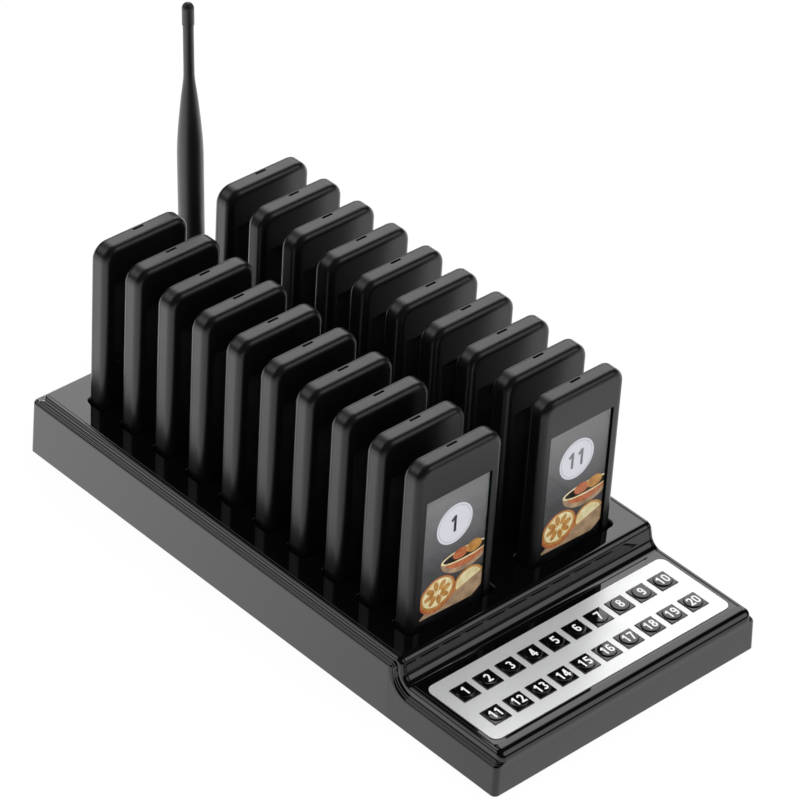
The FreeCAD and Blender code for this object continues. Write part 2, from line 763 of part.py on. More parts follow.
def link_ribbon():
    """A flat ribbon from the keypad board's rear edge to the charging board's front edge."""
    body = new_body("link_ribbon")
    key_top, charge_top = "<switch_top> - s.switch_height", "<charging_board_top>"
    key_edge = "<key_rows_middle> + s.keypad_board_depth / 2"
    charge_edge = "<front> + s.charging_board_front_depth"
    lower = [(f"{key_edge} - s.ribbon_lap", key_top), (f"{key_edge} + s.ribbon_level", key_top),
             (f"{charge_edge} - s.ribbon_level", charge_top), (f"{charge_edge} + s.ribbon_lap", charge_top)]
    upper = [(y, z + " + s.ribbon_thickness") for y, z in reversed(lower)]
    side = new_sketch(body, "side", "YZ")
    draw_outline(side, lower + upper)
    pad(body, side, "s.ribbon_width", both_ways=True)
    return body


def key_overlay():
    """The printed film round the keys, with a square window for each."""
    body = new_body("key_overlay")
    film = new_sketch(body, "outline", "XY", "s.keypad_rise")
    draw_bent_rectangle(film, "0", "<front> + s.overlay_centre_depth", "s.overlay_width", "s.overlay_depth",
                        ("s.overlay_corner_round", "s.overlay_corner_bends"))
    pad(body, film, "s.overlay_thickness")
    holes = new_sketch(body, "windows", "XY", "s.keypad_rise + s.overlay_thickness")
    for x, y in first_keys():
        draw_rectangle(holes, x, y, "s.key_size + s.key_play", "s.key_size + s.key_play")
    hole = pocket(body, holes, "s.overlay_thickness + s.overrun")
    repeat(body, [hole], "X", "s.key_pitch * (s.keys_per_row - 1)", "s.keys_per_row")
    return body


# One key: a square cap with a raised button, a flange below the housing that keeps it in, and a stem.
# Its own origin is on the keypad floor at the key's middle.
def key_blank():
    body = new_body("key_blank")
    under = "-s.wall - s.key_flange_gap"
    cap = new_sketch(body, "cap", "XY", under)
    draw_rectangle(cap, "0", "0", "s.key_size", "s.key_size")
    pad(body, cap, f"s.overlay_thickness + s.key_rise - ({under})")
    button = new_sketch(body, "button", "XY", "s.overlay_thickness + s.key_rise")
    draw_small_round(button, "0", "0", "s.key_dome_size")
    pad_sloping(body, button, "s.key_dome_rise", "-s.key_dome_slope")
    flange = new_sketch(body, "flange", "XY", under)
    draw_rectangle(flange, "0", "0", "s.key_flange", "s.key_flange")
    pad(body, flange, "s.key_flange_thickness", reverse=True)
    stem = new_sketch(body, "stem", "XY", f"{under} - s.key_flange_thickness")
    draw_rectangle(stem, "0", "0", "s.key_stem", "s.key_stem")
    stem_foot = "-s.wall - s.switch_clearance - s.key_stem_entry"
    pad(body, stem, f"{under} - s.key_flange_thickness - ({stem_foot})", reverse=True)
    return body


def clone(label, original):
    """A body that repeats another one's shape at a place of its own."""
    body = new_body(label)
    base = body.newObject("PartDesign::FeatureBase", label + "_base")
    base.BaseFeature = original
    body.Tip = base
    return body


def keys(original):
    """Keys 1 to 10 from the left in the rear row, 11 to 20 in the front row."""
    made = []
    for number in range(int(value("2 * s.keys_per_row"))):
        row, column = divmod(number, int(value("s.keys_per_row")))
        key = clone(f"key_{number + 1:02d}", original)
        x, y = first_keys()[row]
        place(key, f"{x} + {column} * s.key_pitch", y, "s.keypad_rise")
        made.append(key)
    return made


# Pagers: each has its origin at the middle of its foot, its face towards -Y
def pager_slab(body, near_face, far_face):
    """A slab with the pager's outline between two depths."""
    outline = new_sketch(body, "outline", "XZ", f"-({near_face})")
    draw_bent_rectangle(outline, "0", "s.pager_height / 2", "s.pager_width", "s.pager_height",
                        ("s.pager_bottom_round", "s.corner_bends"),
                        ("s.pager_top_round", "s.pager_top_bends"))
    return pad(body, outline, f"{far_face} - ({near_face})", reverse=True)


def draw_inner_outline(sketch, inset):
    """The pager's outline, smaller by the same amount all round."""
    draw_bent_rectangle(sketch, "0", "s.pager_height / 2", f"s.pager_width - 2 * ({inset})",
                        f"s.pager_height - 2 * ({inset})",
                        (f"s.pager_bottom_round - ({inset})", "s.corner_bends"),
                        (f"s.pager_top_round - ({inset})", "s.pager_top_bends"))


def bevel_face(body, name, depth, round_size):
    """Bevels the edge all round one face."""
    def whole_face(face):
        box = face.BoundBox
        return near(box.YMin, value(depth)) and near(box.YMax, value(depth))
    round_edges(body, "Chamfer", name, border_of(body.Shape, whole_face), flat_of(round_size))


def window_middle():
    return "s.pager_height - s.window_top_margin - s.window_height / 2"


def cut_light_slot(body):
    slot = new_sketch(body, "light_slot", "XY", "s.pager_height")
    draw_rectangle(slot, "0", "s.pager_thickness / 2 - s.light_slot_from_back", "s.light_slot_length",
                   "s.light_slot_width")
    pocket(body, slot, "s.light_slot_depth")


def cut_pad_holes(body, depth):
    holes = new_sketch(body, "pad_holes", "XY")
    for side in ("-", ""):
        draw_rectangle(holes, f"{side}s.contact_spacing / 2", "0", "s.pad_length + 2 * s.pad_play",
                       "s.pad_width + 2 * s.pad_play")
    pocket(body, holes, depth, reverse=True)


FACE = "-s.pager_thickness / 2"
BACK = "s.pager_thickness / 2"
PANE_FRONT = "-s.pager_thickness / 2 + s.window_recess"
PANE_BACK = "-s.pager_thickness / 2 + s.window_recess + s.window_thickness"
CARD_BACK = "-s.pager_thickness / 2 + s.window_recess + s.window_thickness + s.card_thickness"
COVER_SEAM = "s.pager_thickness / 2 - s.rear_cover_thickness"


def front_shell():
    body = new_body("pager_01_front_shell")
    pager_slab(body, FACE, COVER_SEAM)
    bevel_face(body, "front_bevel", FACE, "s.pager_front_round")
    opening = new_sketch(body, "window_opening", "XZ", f"-({FACE} - s.overrun)")
    draw_rectangle(opening, "0", window_middle(), "s.window_width", "s.window_height")
    pocket(body, opening, "s.window_recess + 2 * s.overrun")
    seat = new_sketch(body, "pane_seat", "XZ", f"-({PANE_FRONT})")
    draw_rectangle(seat, "0", window_middle(), "s.window_width + 2 * (s.window_lap + s.window_play)",
                   "s.window_height + 2 * (s.window_lap + s.window_play)")
    pocket(body, seat, f"{COVER_SEAM} - ({PANE_FRONT}) + s.overrun")
    hollow = new_sketch(body, "hollow", "XZ", f"-({CARD_BACK})")
    draw_inner_outline(hollow, "s.pager_wall")
    pocket(body, hollow, f"{COVER_SEAM} - ({CARD_BACK}) + s.overrun")
    cut_light_slot(body)
    cut_pad_holes(body, "s.pager_wall + s.overrun")
    return body


def rear_shell():
    body = new_body("pager_01_rear_shell")
    pager_slab(body, COVER_SEAM, BACK)
    bevel_face(body, "back_bevel", BACK, "s.pager_back_round")
    return body


def face_plate(label, front, back, lap):
    """A flat rectangle behind the window opening."""
    body = new_body(label)
    plate = new_sketch(body, "outline", "XZ", f"-({front})")
    draw_rectangle(plate, "0", window_middle(), f"s.window_width + 2 * ({lap})",
                   f"s.window_height + 2 * ({lap})")
    pad(body, plate, f"{back} - ({front})", reverse=True)
    return body


def pager_circuit():
    """The pager's circuit board, with the two contact pads on its lower edge."""
    body = new_body("pager_01_circuit_board")
    board = new_sketch(body, "outline", "XZ", f"-({CARD_BACK})")
    draw_inner_outline(board, "s.pager_wall + s.pager_board_play")
    pad(body, board, "s.pager_board_thickness", reverse=True)
    draw_pads(body, "s.pad_height")
    return body


def draw_pads(body, height):
    pads = new_sketch(body, "pads", "XY")
    for side in ("-", ""):
        draw_rectangle(pads, f"{side}s.contact_spacing / 2", "0", "s.pad_length", "s.pad_width")
    pad(body, pads, height)


def pager_battery():
    body = new_body("pager_01_battery")
    front = f"{CARD_BACK} + s.pager_board_thickness"
    cell = new_sketch(body, "outline", "XZ", f"-({front})")
    draw_rectangle(cell, "0", "s.battery_from_floor + s.battery_height / 2",
                   "s.battery_width", "s.battery_height")
    pad(body, cell, "s.battery_thickness", reverse=True)
    return body


def pager_case():
    """The closed case of pagers 2 to 20: the outline of pager 1, solid behind its window recess."""
    body = new_body("pager_case")
    pager_slab(body, FACE, BACK)
    bevel_face(body, "front_bevel", FACE, "s.pager_front_round")
    recess = new_sketch(body, "window_recess", "XZ", f"-({FACE} - s.overrun)")
    draw_rectangle(recess, "0", window_middle(), "s.window_width", "s.window_height")
    pocket(body, recess, f"{CARD_BACK} - ({FACE}) + s.overrun")
    cut_light_slot(body)
    cut_pad_holes(body, "s.pager_wall")
    return body


def pager_pads():
    body = new_body("pager_pads")
    draw_pads(body, "s.pager_wall")
    return body


def stand_pager(thing, number):
    """Pagers 1 to 10 from the front in the left row, 11 to 20 in the right row."""
    row, index = divmod(number - 1, int(value("s.pagers_per_row")))
    x, y = slot_places()[row]
    place(thing, x, f"{y} + {index} * s.pager_pitch", "<pager_rest>")


def pagers():
    first = [front_shell(), rear_shell(),
             face_plate("pager_01_window", PANE_FRONT, PANE_BACK, "s.window_lap"),
             face_plate("pager_01_card", PANE_BACK, CARD_BACK, "s.window_lap"),
             pager_circuit(), pager_battery()]
    for piece in first:
        stand_pager(piece, 1)
    shared = [pager_case(),
              face_plate("pager_pane", PANE_FRONT, PANE_BACK, "-s.window_play"),
              face_plate("pager_card", PANE_BACK, CARD_BACK, "-s.window_play"), pager_pads()]
    others = []
    for number in range(2, int(value("2 * s.pagers_per_row")) + 1):
        pager = doc.addObject("Part::Compound", f"pager_{number:02d}")
        pager.Label = f"pager_{number:02d}"
        pager.Links = shared
        stand_pager(pager, number)
        others.append(pager)
    return first + others


# Power inlet on the charging board, its nose through the rear wall
def dc_inlet():
    body = new_body("dc_inlet")
    axis = "<charging_board_top> + s.inlet_axis_rise"
    block = new_sketch(body, "block", "XZ", "-(<rear_inside>)")
    draw_rectangle(block, "-s.inlet_offset", "<charging_board_top> + s.inlet_height / 2", "s.inlet_width",
                   "s.inlet_height")
    pad(body, block, "s.inlet_length")
    nose = new_sketch(body, "nose", "XZ", "-(<rear_inside>)")
    draw_turned(nose, "-s.inlet_offset", axis, "s.inlet_nose")
    pad(body, nose, "s.wall", reverse=True)
    mouth = new_sketch(body, "mouth", "XZ", "-(<back> - s.inlet_mouth_depth)")
    draw_turned(mouth, "-s.inlet_offset", axis, "s.inlet_mouth")
    pocket(body, mouth, "s.inlet_mouth_depth + s.overrun")
    pin = new_sketch(body, "pin", "XZ", "-(<back> - s.inlet_mouth_depth)")
    draw_small_round(pin, "-s.inlet_offset", axis, "s.inlet_pin")
    pad(body, pin, "s.inlet_pin_length", reverse=True)
    return body


def antenna_jack():
    """A block on the charging board, a barrel through the rear wall and a nut outside it."""
    body = new_body("antenna_jack")
    x, z = "s.antenna_offset", "s.antenna_axis_rise"
    block = new_sketch(body, "block", "XZ", "-(<rear_inside>)")
    draw_rectangle(block, x, f"({z} + s.jack_block / 2 + <charging_board_top>) / 2", "s.jack_block",
                   f"{z} + s.jack_block / 2 - (<charging_board_top>)")
    pad(body, block, "s.jack_block_length")
    barrel = new_sketch(body, "barrel", "XZ", "-(<rear_inside>)")
    draw_circle(barrel, x, z, "s.jack_barrel")
    pad(body, barrel, "s.jack_barrel_length", reverse=True)
    nut = new_sketch(body, "nut", "XZ", "-(<back>)")
    draw_polygon(nut, x, z, "s.jack_nut", "s.nut_sides")
    draw_circle(nut, x, z, "s.jack_barrel + 2 * s.joint_play")
    pad(body, nut, "s.jack_nut_thickness", reverse=True)
    return body


# Antenna: each piece has its origin where the jack's axis meets the hinge pin, its own Z along the
# whip and its own Y along the jack; all three lean together about the jack's axis
def lean_antenna(body):
    place(body, "s.antenna_offset", "<back> + s.antenna_standoff", "s.antenna_axis_rise")
    body.Placement.Rotation = FreeCAD.Rotation(Vector(0, 1, 0), -value("s.antenna_lean"))


def antenna_knuckle():
    """A collar that turns on the jack's barrel, with two ears for the hinge pin."""
    body = new_body("antenna_knuckle")
    start = "-s.antenna_standoff + s.jack_nut_thickness + s.knuckle_gap"
    ears_start = "-s.tongue_radius - s.fork_slot_depth"
    barrel_end = "-s.antenna_standoff - s.wall + s.jack_barrel_length"
    collar = new_sketch(body, "collar", "XZ", f"-({start})")
    draw_turned(collar, "0", "0", "s.knuckle_diameter")
    pad(body, collar, f"{ears_start} - ({start})", reverse=True)
    bore = new_sketch(body, "bore", "XZ", f"-({start})")
    draw_circle(bore, "0", "0", "s.jack_barrel + 2 * s.joint_play")
    pocket(body, bore, f"{barrel_end} + s.knuckle_gap / 2 - ({start})")
    half_gap = "s.tongue_thickness / 2 + s.tongue_play"
    ears = new_sketch(body, "ears", "YZ")
    draw_turned(ears, "0", "0", "2 * s.ear_radius")
    pad(body, ears, f"2 * ({half_gap} + s.ear_thickness)", both_ways=True)
    root = new_sketch(body, "ear_roots", "YZ")
    draw_rectangle(root, f"({ears_start}) / 2", "0", f"-({ears_start})", "2 * s.ear_radius")
    pad(body, root, f"2 * ({half_gap} + s.ear_thickness)", both_ways=True)
    fork = new_sketch(body, "fork_slot", "YZ")
    draw_rectangle(fork, f"({ears_start} + s.ear_radius + s.overrun) / 2", "0",
                   f"s.ear_radius + s.overrun - ({ears_start})", "2 * (s.ear_radius + s.overrun)")
    pocket(body, fork, f"2 * ({half_gap})", both_ways=True)
    hole = new_sketch(body, "pin_hole", "YZ")
    draw_circle(hole, "0", "0", "s.hinge_pin + 2 * s.joint_play")
    pocket(body, hole, "s.knuckle_diameter + s.ear_thickness", both_ways=True)
    lean_antenna(body)
    return body


def antenna_hinge_pin():
    body = new_body("antenna_hinge_pin")
    rod = new_sketch(body, "rod", "YZ")
    draw_circle(rod, "0", "0", "s.hinge_pin")
    pad(body, rod, "s.tongue_thickness + 2 * (s.tongue_play + s.ear_thickness)", both_ways=True)
    lean_antenna(body)
    return body


def antenna_whip():
    """A rubber whip, straight and then tapered to a thin end with a cap, on a flat tongue."""
    body = new_body("antenna_whip")
    stations = [("s.whip_shoulder", "s.whip_shoulder_diameter"), ("s.whip_flare_end", "s.whip_diameter"),
                ("s.whip_straight_end", "s.whip_diameter"),
                ("s.whip_taper_middle", "s.whip_taper_middle_diameter"),
                ("s.whip_taper_end", "s.whip_tip_diameter"), ("s.whip_cap_start", "s.whip_tip_diameter"),
                ("s.whip_cap_start", "s.whip_cap_diameter"),
                ("s.whip_length - s.whip_cap_round", "s.whip_cap_diameter"),
                ("s.whip_length", "s.whip_cap_diameter - 2 * s.whip_cap_round")]
    for index, ((start, width), (end, end_width)) in enumerate(zip(stations, stations[1:]), start=1):
        if start == end:
            continue
        section = new_sketch(body, f"section_{index}", "XY", start)
        draw_turned(section, "0", "0", width)
        if width == end_width:
            pad(body, section, f"{end} - ({start})")
        else:
            pad_sloping(body, section, f"{end} - ({start})", f"(({end_width}) - ({width})) / 2")
    tongue = new_sketch(body, "tongue", "YZ")
    draw_turned(tongue, "0", "0", "2 * s.tongue_radius")
    pad(body, tongue, "s.tongue_thickness", both_ways=True)
    neck = new_sketch(body, "neck", "YZ")
    draw_rectangle(neck, "0", "(s.whip_shoulder + s.overrun) / 2", "2 * s.tongue_radius",
                   "s.whip_shoulder + s.overrun")
    pad(body, neck, "s.tongue_thickness", both_ways=True)
    hole = new_sketch(body, "pin_hole", "YZ")
    draw_circle(hole, "0", "0", "s.hinge_pin + 2 * s.joint_play")
    pocket(body, hole, "s.knuckle_diameter", both_ways=True)
    lean_antenna(body)
    return body


NODES = [top_housing(), bottom_cover(), rubber_feet(), case_screws(), charging_board(), charging_contacts(),
         keypad_board(), key_switches(), link_ribbon(), key_overlay(), dc_inlet(), antenna_jack(),
         antenna_knuckle(), antenna_hinge_pin(), antenna_whip()]
NODES += keys(key_blank())
NODES += pagers()
doc.recompute()

# Everything is sound before any file is written
for thing in doc.Objects:
    if "Invalid" in thing.State or "Error" in thing.State:
        raise RuntimeError(thing.Label + " failed")
for node in NODES:
    if node.Shape.isNull() or not node.Shape.isValid():
        raise RuntimeError(node.Label + " has no sound shape")

os.makedirs("parts", exist_ok=True)
for node in NODES:
    node.Shape.exportStep("parts/" + node.Label + ".step")
print(len(NODES), "nodes")
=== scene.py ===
import math

import bmesh
import bpy
from mathutils import Matrix, Vector


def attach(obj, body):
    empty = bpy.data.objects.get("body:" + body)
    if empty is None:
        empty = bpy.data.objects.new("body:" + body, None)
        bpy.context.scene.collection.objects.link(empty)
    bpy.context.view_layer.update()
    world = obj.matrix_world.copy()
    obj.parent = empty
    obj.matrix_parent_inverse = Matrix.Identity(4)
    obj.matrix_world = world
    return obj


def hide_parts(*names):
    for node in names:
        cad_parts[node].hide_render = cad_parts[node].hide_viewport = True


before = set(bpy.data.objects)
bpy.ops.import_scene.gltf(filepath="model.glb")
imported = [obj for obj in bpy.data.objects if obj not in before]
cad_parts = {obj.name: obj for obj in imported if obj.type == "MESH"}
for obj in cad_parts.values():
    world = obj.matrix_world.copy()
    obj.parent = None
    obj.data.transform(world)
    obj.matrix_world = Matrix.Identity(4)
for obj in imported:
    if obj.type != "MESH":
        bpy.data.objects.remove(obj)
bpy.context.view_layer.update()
MM = 0.001

# Camera: at the photograph's angle, solved from the base's straight edges
CAMERA_PLACE = (-1142.95, -1156.64, 1284.08)
CAMERA_TURN, CAMERA_TILT, CAMERA_ROLL = -44.771, 36.364, 3.688
CAMERA_LENS = 196.713


def add_camera():
    turn, tilt, roll = (math.radians(v) for v in (CAMERA_TURN, CAMERA_TILT, CAMERA_ROLL))
    back = Vector((math.sin(turn) * math.cos(tilt), -math.cos(turn) * math.cos(tilt), math.sin(tilt)))
    right = Vector((0, 0, 1)).cross(back).normalized()
    up = back.cross(right)
    rolled_right = right * math.cos(roll) + up * math.sin(roll)
    rolled_up = up * math.cos(roll) - right * math.sin(roll)
    data = bpy.data.cameras.new("camera")
    data.lens = CAMERA_LENS
    data.clip_end = 20
    camera = bpy.data.objects.new("camera", data)
    place = Matrix((rolled_right, rolled_up, back)).transposed().to_4x4()
    place.translation = Vector(CAMERA_PLACE) * MM
    camera.matrix_world = place
    bpy.context.collection.objects.link(camera)
    bpy.context.scene.camera = camera


add_camera()


# Mesh building, in millimetres
SMOOTH_ANGLE = 32.0


def ring(bm, points):
    return [bm.verts.new(Vector(p) * MM) for p in points]


def bridge(bm, first, second):
    count = len(first)
    for i in range(count):
        j = (i + 1) % count
        bm.faces.new((first[i], first[j], second[j], second[i]))


def bridge_all(bm, rings):
    for first, second in zip(rings, rings[1:]):
        bridge(bm, first, second)


def closed_solid(bm, rings):
    """Joins rings and closes both ends."""
    bridge_all(bm, rings)
    bm.faces.new(rings[0])
    bm.faces.new(rings[-1])


def ring_edges(bm, verts):
    edges = []
    for a, b in zip(verts, verts[1:] + verts[:1]):
        edges.append(bm.edges.get((a, b)) or bm.edges.new((a, b)))
    return edges


def fill(bm, outer, holes):
    """Fills a flat outline, leaving its holes open."""
    edges = ring_edges(bm, outer)
    for hole in holes:
        edges += ring_edges(bm, hole)
    bmesh.ops.triangle_fill(bm, use_beauty=True, use_dissolve=False, edges=edges, normal=(0, 0, 1))


def finish_mesh(bm, name, weighted=True):
    """Turns the faces outward and gives the mesh smooth rounds and flat flats."""
    bmesh.ops.recalc_face_normals(bm, faces=bm.faces)
    mesh = bpy.data.meshes.new(name)
    bm.to_mesh(mesh)
    bm.free()
    for polygon in mesh.polygons:
        polygon.use_smooth = True
    mesh.set_sharp_from_angle(angle=math.radians(SMOOTH_ANGLE))
    if weighted:
        mesh = with_flat_flats(mesh)
    return mesh


def with_flat_flats(mesh):
    """The same mesh with normals that follow its large faces."""
    holder = bpy.data.objects.new(mesh.name + "_holder", mesh)
    bpy.context.collection.objects.link(holder)
    modifier = holder.modifiers.new("flats", "WEIGHTED_NORMAL")
    modifier.keep_sharp = True
    modifier.weight = 100
    graph = bpy.context.evaluated_depsgraph_get()
    result = bpy.data.meshes.new_from_object(holder.evaluated_get(graph), depsgraph=graph)
    name = mesh.name
    bpy.data.objects.remove(holder)
    bpy.data.meshes.remove(mesh)
    result.name = name
    return result


def add_piece(name, mesh, material, body, replaces=(), slot=None, at=None):
    """Places a mesh as a piece of the object that rides on a body."""
    piece = bpy.data.objects.new(name, mesh)
    bpy.context.collection.objects.link(piece)
    if at is not None:
        piece.matrix_world = at
    if mesh.materials:
        mesh.materials[0] = material
    else:
        mesh.materials.append(material)
    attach(piece, body)
    if replaces:
        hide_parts(*replaces)


def moved(x, y, z):
    return Matrix.Translation(Vector((x, y, z)) * MM)


def quarter(radius, steps):
    """Pairs of how far in from the wall and how far below the top, from the wall to the top."""
    pairs = []
    for i in range(steps + 1):
        angle = i / steps * math.pi / 2
        pairs.append((radius * (1 - math.cos(angle)), radius * (1 - math.sin(angle))))
    return pairs


def rounded_outline(left, right, low, high, radius_low, radius_high, steps):
    """Points round a rectangle, counterclockwise from the low left corner."""
    points = []
    corners = ((left, low, 1, 1, radius_low, 180), (right, low, -1, 1, radius_low, 270),
               (right, high, -1, -1, radius_high, 0), (left, high, 1, -1, radius_high, 90))
    for x, y, inward_x, inward_y, radius, start in corners:
        for i in range(steps + 1):
            angle = math.radians(start + 90 * i / steps)
            points.append((x + inward_x * radius + radius * math.cos(angle),
                           y + inward_y * radius + radius * math.sin(angle)))
    return points


# Base housing, in millimetres
HALF_WIDTH, HALF_LENGTH = 83.1, 163.4
BOTTOM, DRAFT = 0.3, 0.5
LOW_LEDGE, HIGH_LEDGE = 17.4, 30.6
DECK, KEY_FLOOR, RIM_RISE = 34.1, 22.8, 0.15
CREST_INSET, RIM_ROUND_IN, RIM_ROUND_DOWN = 5.1, 2.05, 1.85
SHOULDER_ROUND, SHOULDER_TURN, SHOULDER_DROP = 2.1, 50.0, 0.25
# Two small beads between shoulder and rim: inset, and height over the ledge
BEAD_START = 1.38
BEADS = ((BEAD_START, -0.45), (1.5, -0.15), (1.56, 0.3), (1.95, 0.5), (2.1, 0.42), (2.18, 0.62), (2.26, 1.15),
         (2.85, 1.4), (2.98, 1.36), (3.05, 1.7))
# Inside the crest: inset past it and depth at the sides, inset past it and rise at the front
GROOVE = ((0.2, -0.14, 0.6, 0.1), (0.34, -0.04, 1.2, 0.2), (0.44, 0.1, 1.9, 0.3), (0.6, 0.16, 2.5, 0.38),
          (0.8, 0.16, 2.7, 0.4), (0.95, 0.1, 2.85, 0.3), (1.1, 0.03, 3.0, -0.2))
GROOVE_END, FRONT_END = 1.3, 3.2
FRONT_ROUND, FRONT_START, FRONT_TURN = 5.0, 18.3, 80.0
REAR_INSET, REAR_ROUND = 4.9, 1.0
SKIRT_CORNER, RIM_CORNER, INNER_CORNER = 2.6, 3.6, 1.2
WALL = 2.2
STEP_FOOT, STEP_CREST = -98.96, -96.16
ROW_X, PITCH, FIRST_PAGER = 38.2, 24.0, -79.5
KEY_PITCH, KEY_ROWS_MIDDLE, KEY_ROW_GAP = 13.96, -130.925, 19.75
ARC_STEPS, CORNER_STEPS = 12, 10


def arc_between(before, corner, after, radius, steps):
    """Points and upward normals of a round that replaces a corner of the side view."""
    corner, before, after = Vector(corner), Vector(before), Vector(after)
    inward, outward = (before - corner).normalized(), (after - corner).normalized()
    half = inward.angle(outward) / 2
    centre = corner + (inward + outward).normalized() * radius / math.sin(half)
    start = corner + inward * radius / math.tan(half) - centre
    end = corner + outward * radius / math.tan(half) - centre
    turn = start.angle_signed(end)
    points = []
    for i in range(steps + 1):
        spoke = Matrix.Rotation(-turn * i / steps, 2) @ start
        normal = spoke.normalized()
        if normal.y < 0 or (abs(normal.y) < 1e-6 and normal.x > 0):
            normal = -normal
        points.append((centre.x + spoke.x, centre.y + spoke.y, normal.x, normal.y))
    return points


def side_view(low, high, foot, crest, sweep, round_over):
    """The side view of a surface that steps up from the keypad to the deck."""
    foot, crest = (foot, low), (crest, high)
    points = arc_between((-HALF_LENGTH, low), foot, crest, sweep, ARC_STEPS)
    points += arc_between(foot, crest, (HALF_LENGTH, high), round_over, ARC_STEPS)
    return {"low": low, "high": high, "points": points}


slope = (STEP_CREST - STEP_FOOT) / (DECK - KEY_FLOOR)
lean = math.sqrt(1 + slope * slope) - slope
SIDE_LEDGE = side_view(LOW_LEDGE, HIGH_LEDGE, -93.4, -93.4, 11.4, 1.6)
SIDE_RIM = side_view(KEY_FLOOR + RIM_RISE, DECK + RIM_RISE, STEP_FOOT, STEP_CREST, 6.0, 4.0)
SIDE_FLOOR = side_view(KEY_FLOOR, DECK, STEP_FOOT + RIM_RISE * lean, STEP_CREST + RIM_RISE * lean, 6.1, 3.8)
SIDE_UNDER = side_view(KEY_FLOOR - WALL, DECK - WALL, STEP_FOOT + (RIM_RISE + WALL) * lean,
                       STEP_CREST + (RIM_RISE + WALL) * lean, 8.4, 1.4)


def blended_loop(side, front, rear, radius):
    """Points round the base: front corners, right climb, rear corners, left climb.

    The side gives inset, side view and depth below it; the front and the rear give inset and height.
    """
    inset, view, below = side
    low, high = view["low"] - below, view["high"] - below
    climb = [(y - ny * below, z - nz * below) for y, z, ny, nz in view["points"]]
    half = HALF_WIDTH - inset
    near, far = -HALF_LENGTH + front[0], HALF_LENGTH - rear[0]
    corners = ((-half, near, 1, 1, 180, low, front[1]), (half, near, -1, 1, 270, front[1], low),
               (half, far, -1, -1, 0, high, rear[1]), (-half, far, 1, -1, 90, rear[1], high))
    runs = []
    for x, y, inward_x, inward_y, start, first, last in corners:
        run = []
        for i in range(CORNER_STEPS + 1):
            share = i / CORNER_STEPS
            angle = math.radians(start + 90 * share)
            height = first + (last - first) * share * share * (3 - 2 * share)
            run.append((x + inward_x * radius + radius * math.cos(angle),
                        y + inward_y * radius + radius * math.sin(angle), height))
        runs.append(run)
    points = runs[0] + runs[1] + [(half, y, z) for y, z in climb]
    return points + runs[2] + runs[3] + [(-half, y, z) for y, z in reversed(climb)]


def even_loop(inset, view, below, radius):
    """A loop at one inset and one depth all round."""
    front, rear = ((inset, view[end] - below) for end in ("low", "high"))
    return blended_loop((inset, view, below), front, rear, radius)


def level_loop(inset, z, radius):
    return [(x, y, z) for x, y, _ in even_loop(inset, SIDE_LEDGE, 0, radius)]


def shoulder_loops():
    """From the top of the skirt's wall round to the ledge."""
    loops = []
    rise = SHOULDER_ROUND * math.sin(math.radians(SHOULDER_TURN))
    for i in range(7):
        angle = math.radians(SHOULDER_TURN * i / 6)
        inset = DRAFT + SHOULDER_ROUND * (1 - math.cos(angle))
        below = rise - SHOULDER_ROUND * math.sin(angle) + SHOULDER_DROP
        front = (DRAFT, LOW_LEDGE - SHOULDER_DROP - rise * (1 - i / 6))
        rear = (inset, HIGH_LEDGE - below)
        loops.append(blended_loop((inset, SIDE_LEDGE, below), front, rear, SKIRT_CORNER))
    return loops


def bead_loops():
    """The beads at the sides, which run out into the flush front wall and the wide rear ledge."""
    loops = []
    front_low = LOW_LEDGE - SHOULDER_DROP
    front_rise = FRONT_START - 0.1 - front_low
    for i, (inset, height) in enumerate(BEADS):
        share = (i + 1) / len(BEADS)
        front = (DRAFT, front_low + front_rise * share)
        rear = (BEAD_START + (REAR_INSET - BEAD_START) * share, HIGH_LEDGE)
        corner = SKIRT_CORNER + (RIM_CORNER - SKIRT_CORNER) * share
        loops.append(blended_loop((inset, SIDE_LEDGE, -height), front, rear, corner))
    return loops


def rim_loops():
    """The rim's round, and the groove between it and the keypad floor and deck."""
    loops = []
    steps = 10
    for i, (across, down) in enumerate(quarter(1.0, steps)):
        angle = math.radians(FRONT_TURN * i / steps)
        front = (DRAFT + FRONT_ROUND * (1 - math.cos(angle)), FRONT_START + FRONT_ROUND * math.sin(angle))
        rear = (REAR_INSET + REAR_ROUND * across, DECK - REAR_ROUND * down)
        side = (CREST_INSET - RIM_ROUND_IN * (1 - across), SIDE_RIM, RIM_ROUND_DOWN * down)
        loops.append(blended_loop(side, front, rear, max(RIM_CORNER - RIM_ROUND_IN * across, INNER_CORNER)))
    groove = GROOVE + ((GROOVE_END, 0.0, FRONT_END, KEY_FLOOR - front[1]),)
    for step, (over, below, front_over, front_rise) in enumerate(groove, start=1):
        loops.append(blended_loop((CREST_INSET + over, SIDE_FLOOR, below),
                                  (front[0] + front_over, front[1] + front_rise),
                                  (REAR_INSET + REAR_ROUND + 0.05 * step, DECK), INNER_CORNER))
    return loops


def shell_loops():
    """Loops of the housing's outside, from its bottom edge up to the edge of keypad floor and deck."""
    foot = [level_loop(0.25, BOTTOM, SKIRT_CORNER), level_loop(0.0, BOTTOM + 0.4, SKIRT_CORNER)]
    return foot + shoulder_loops() + bead_loops() + rim_loops()


def slot_outline(x, y, grow, z):
    half_x, half_y, radius = SLOT_HALF_X + grow, SLOT_HALF_Y + grow, SLOT_CORNER + grow
    return [(px, py, z) for px, py in rounded_outline(x - half_x, x + half_x, y - half_y, y + half_y,
                                                      radius, radius, 6)]


def box_outline(x, y, half_x, half_y, z):
    return [(x - half_x, y - half_y, z), (x + half_x, y - half_y, z), (x + half_x, y + half_y, z),
            (x - half_x, y + half_y, z)]


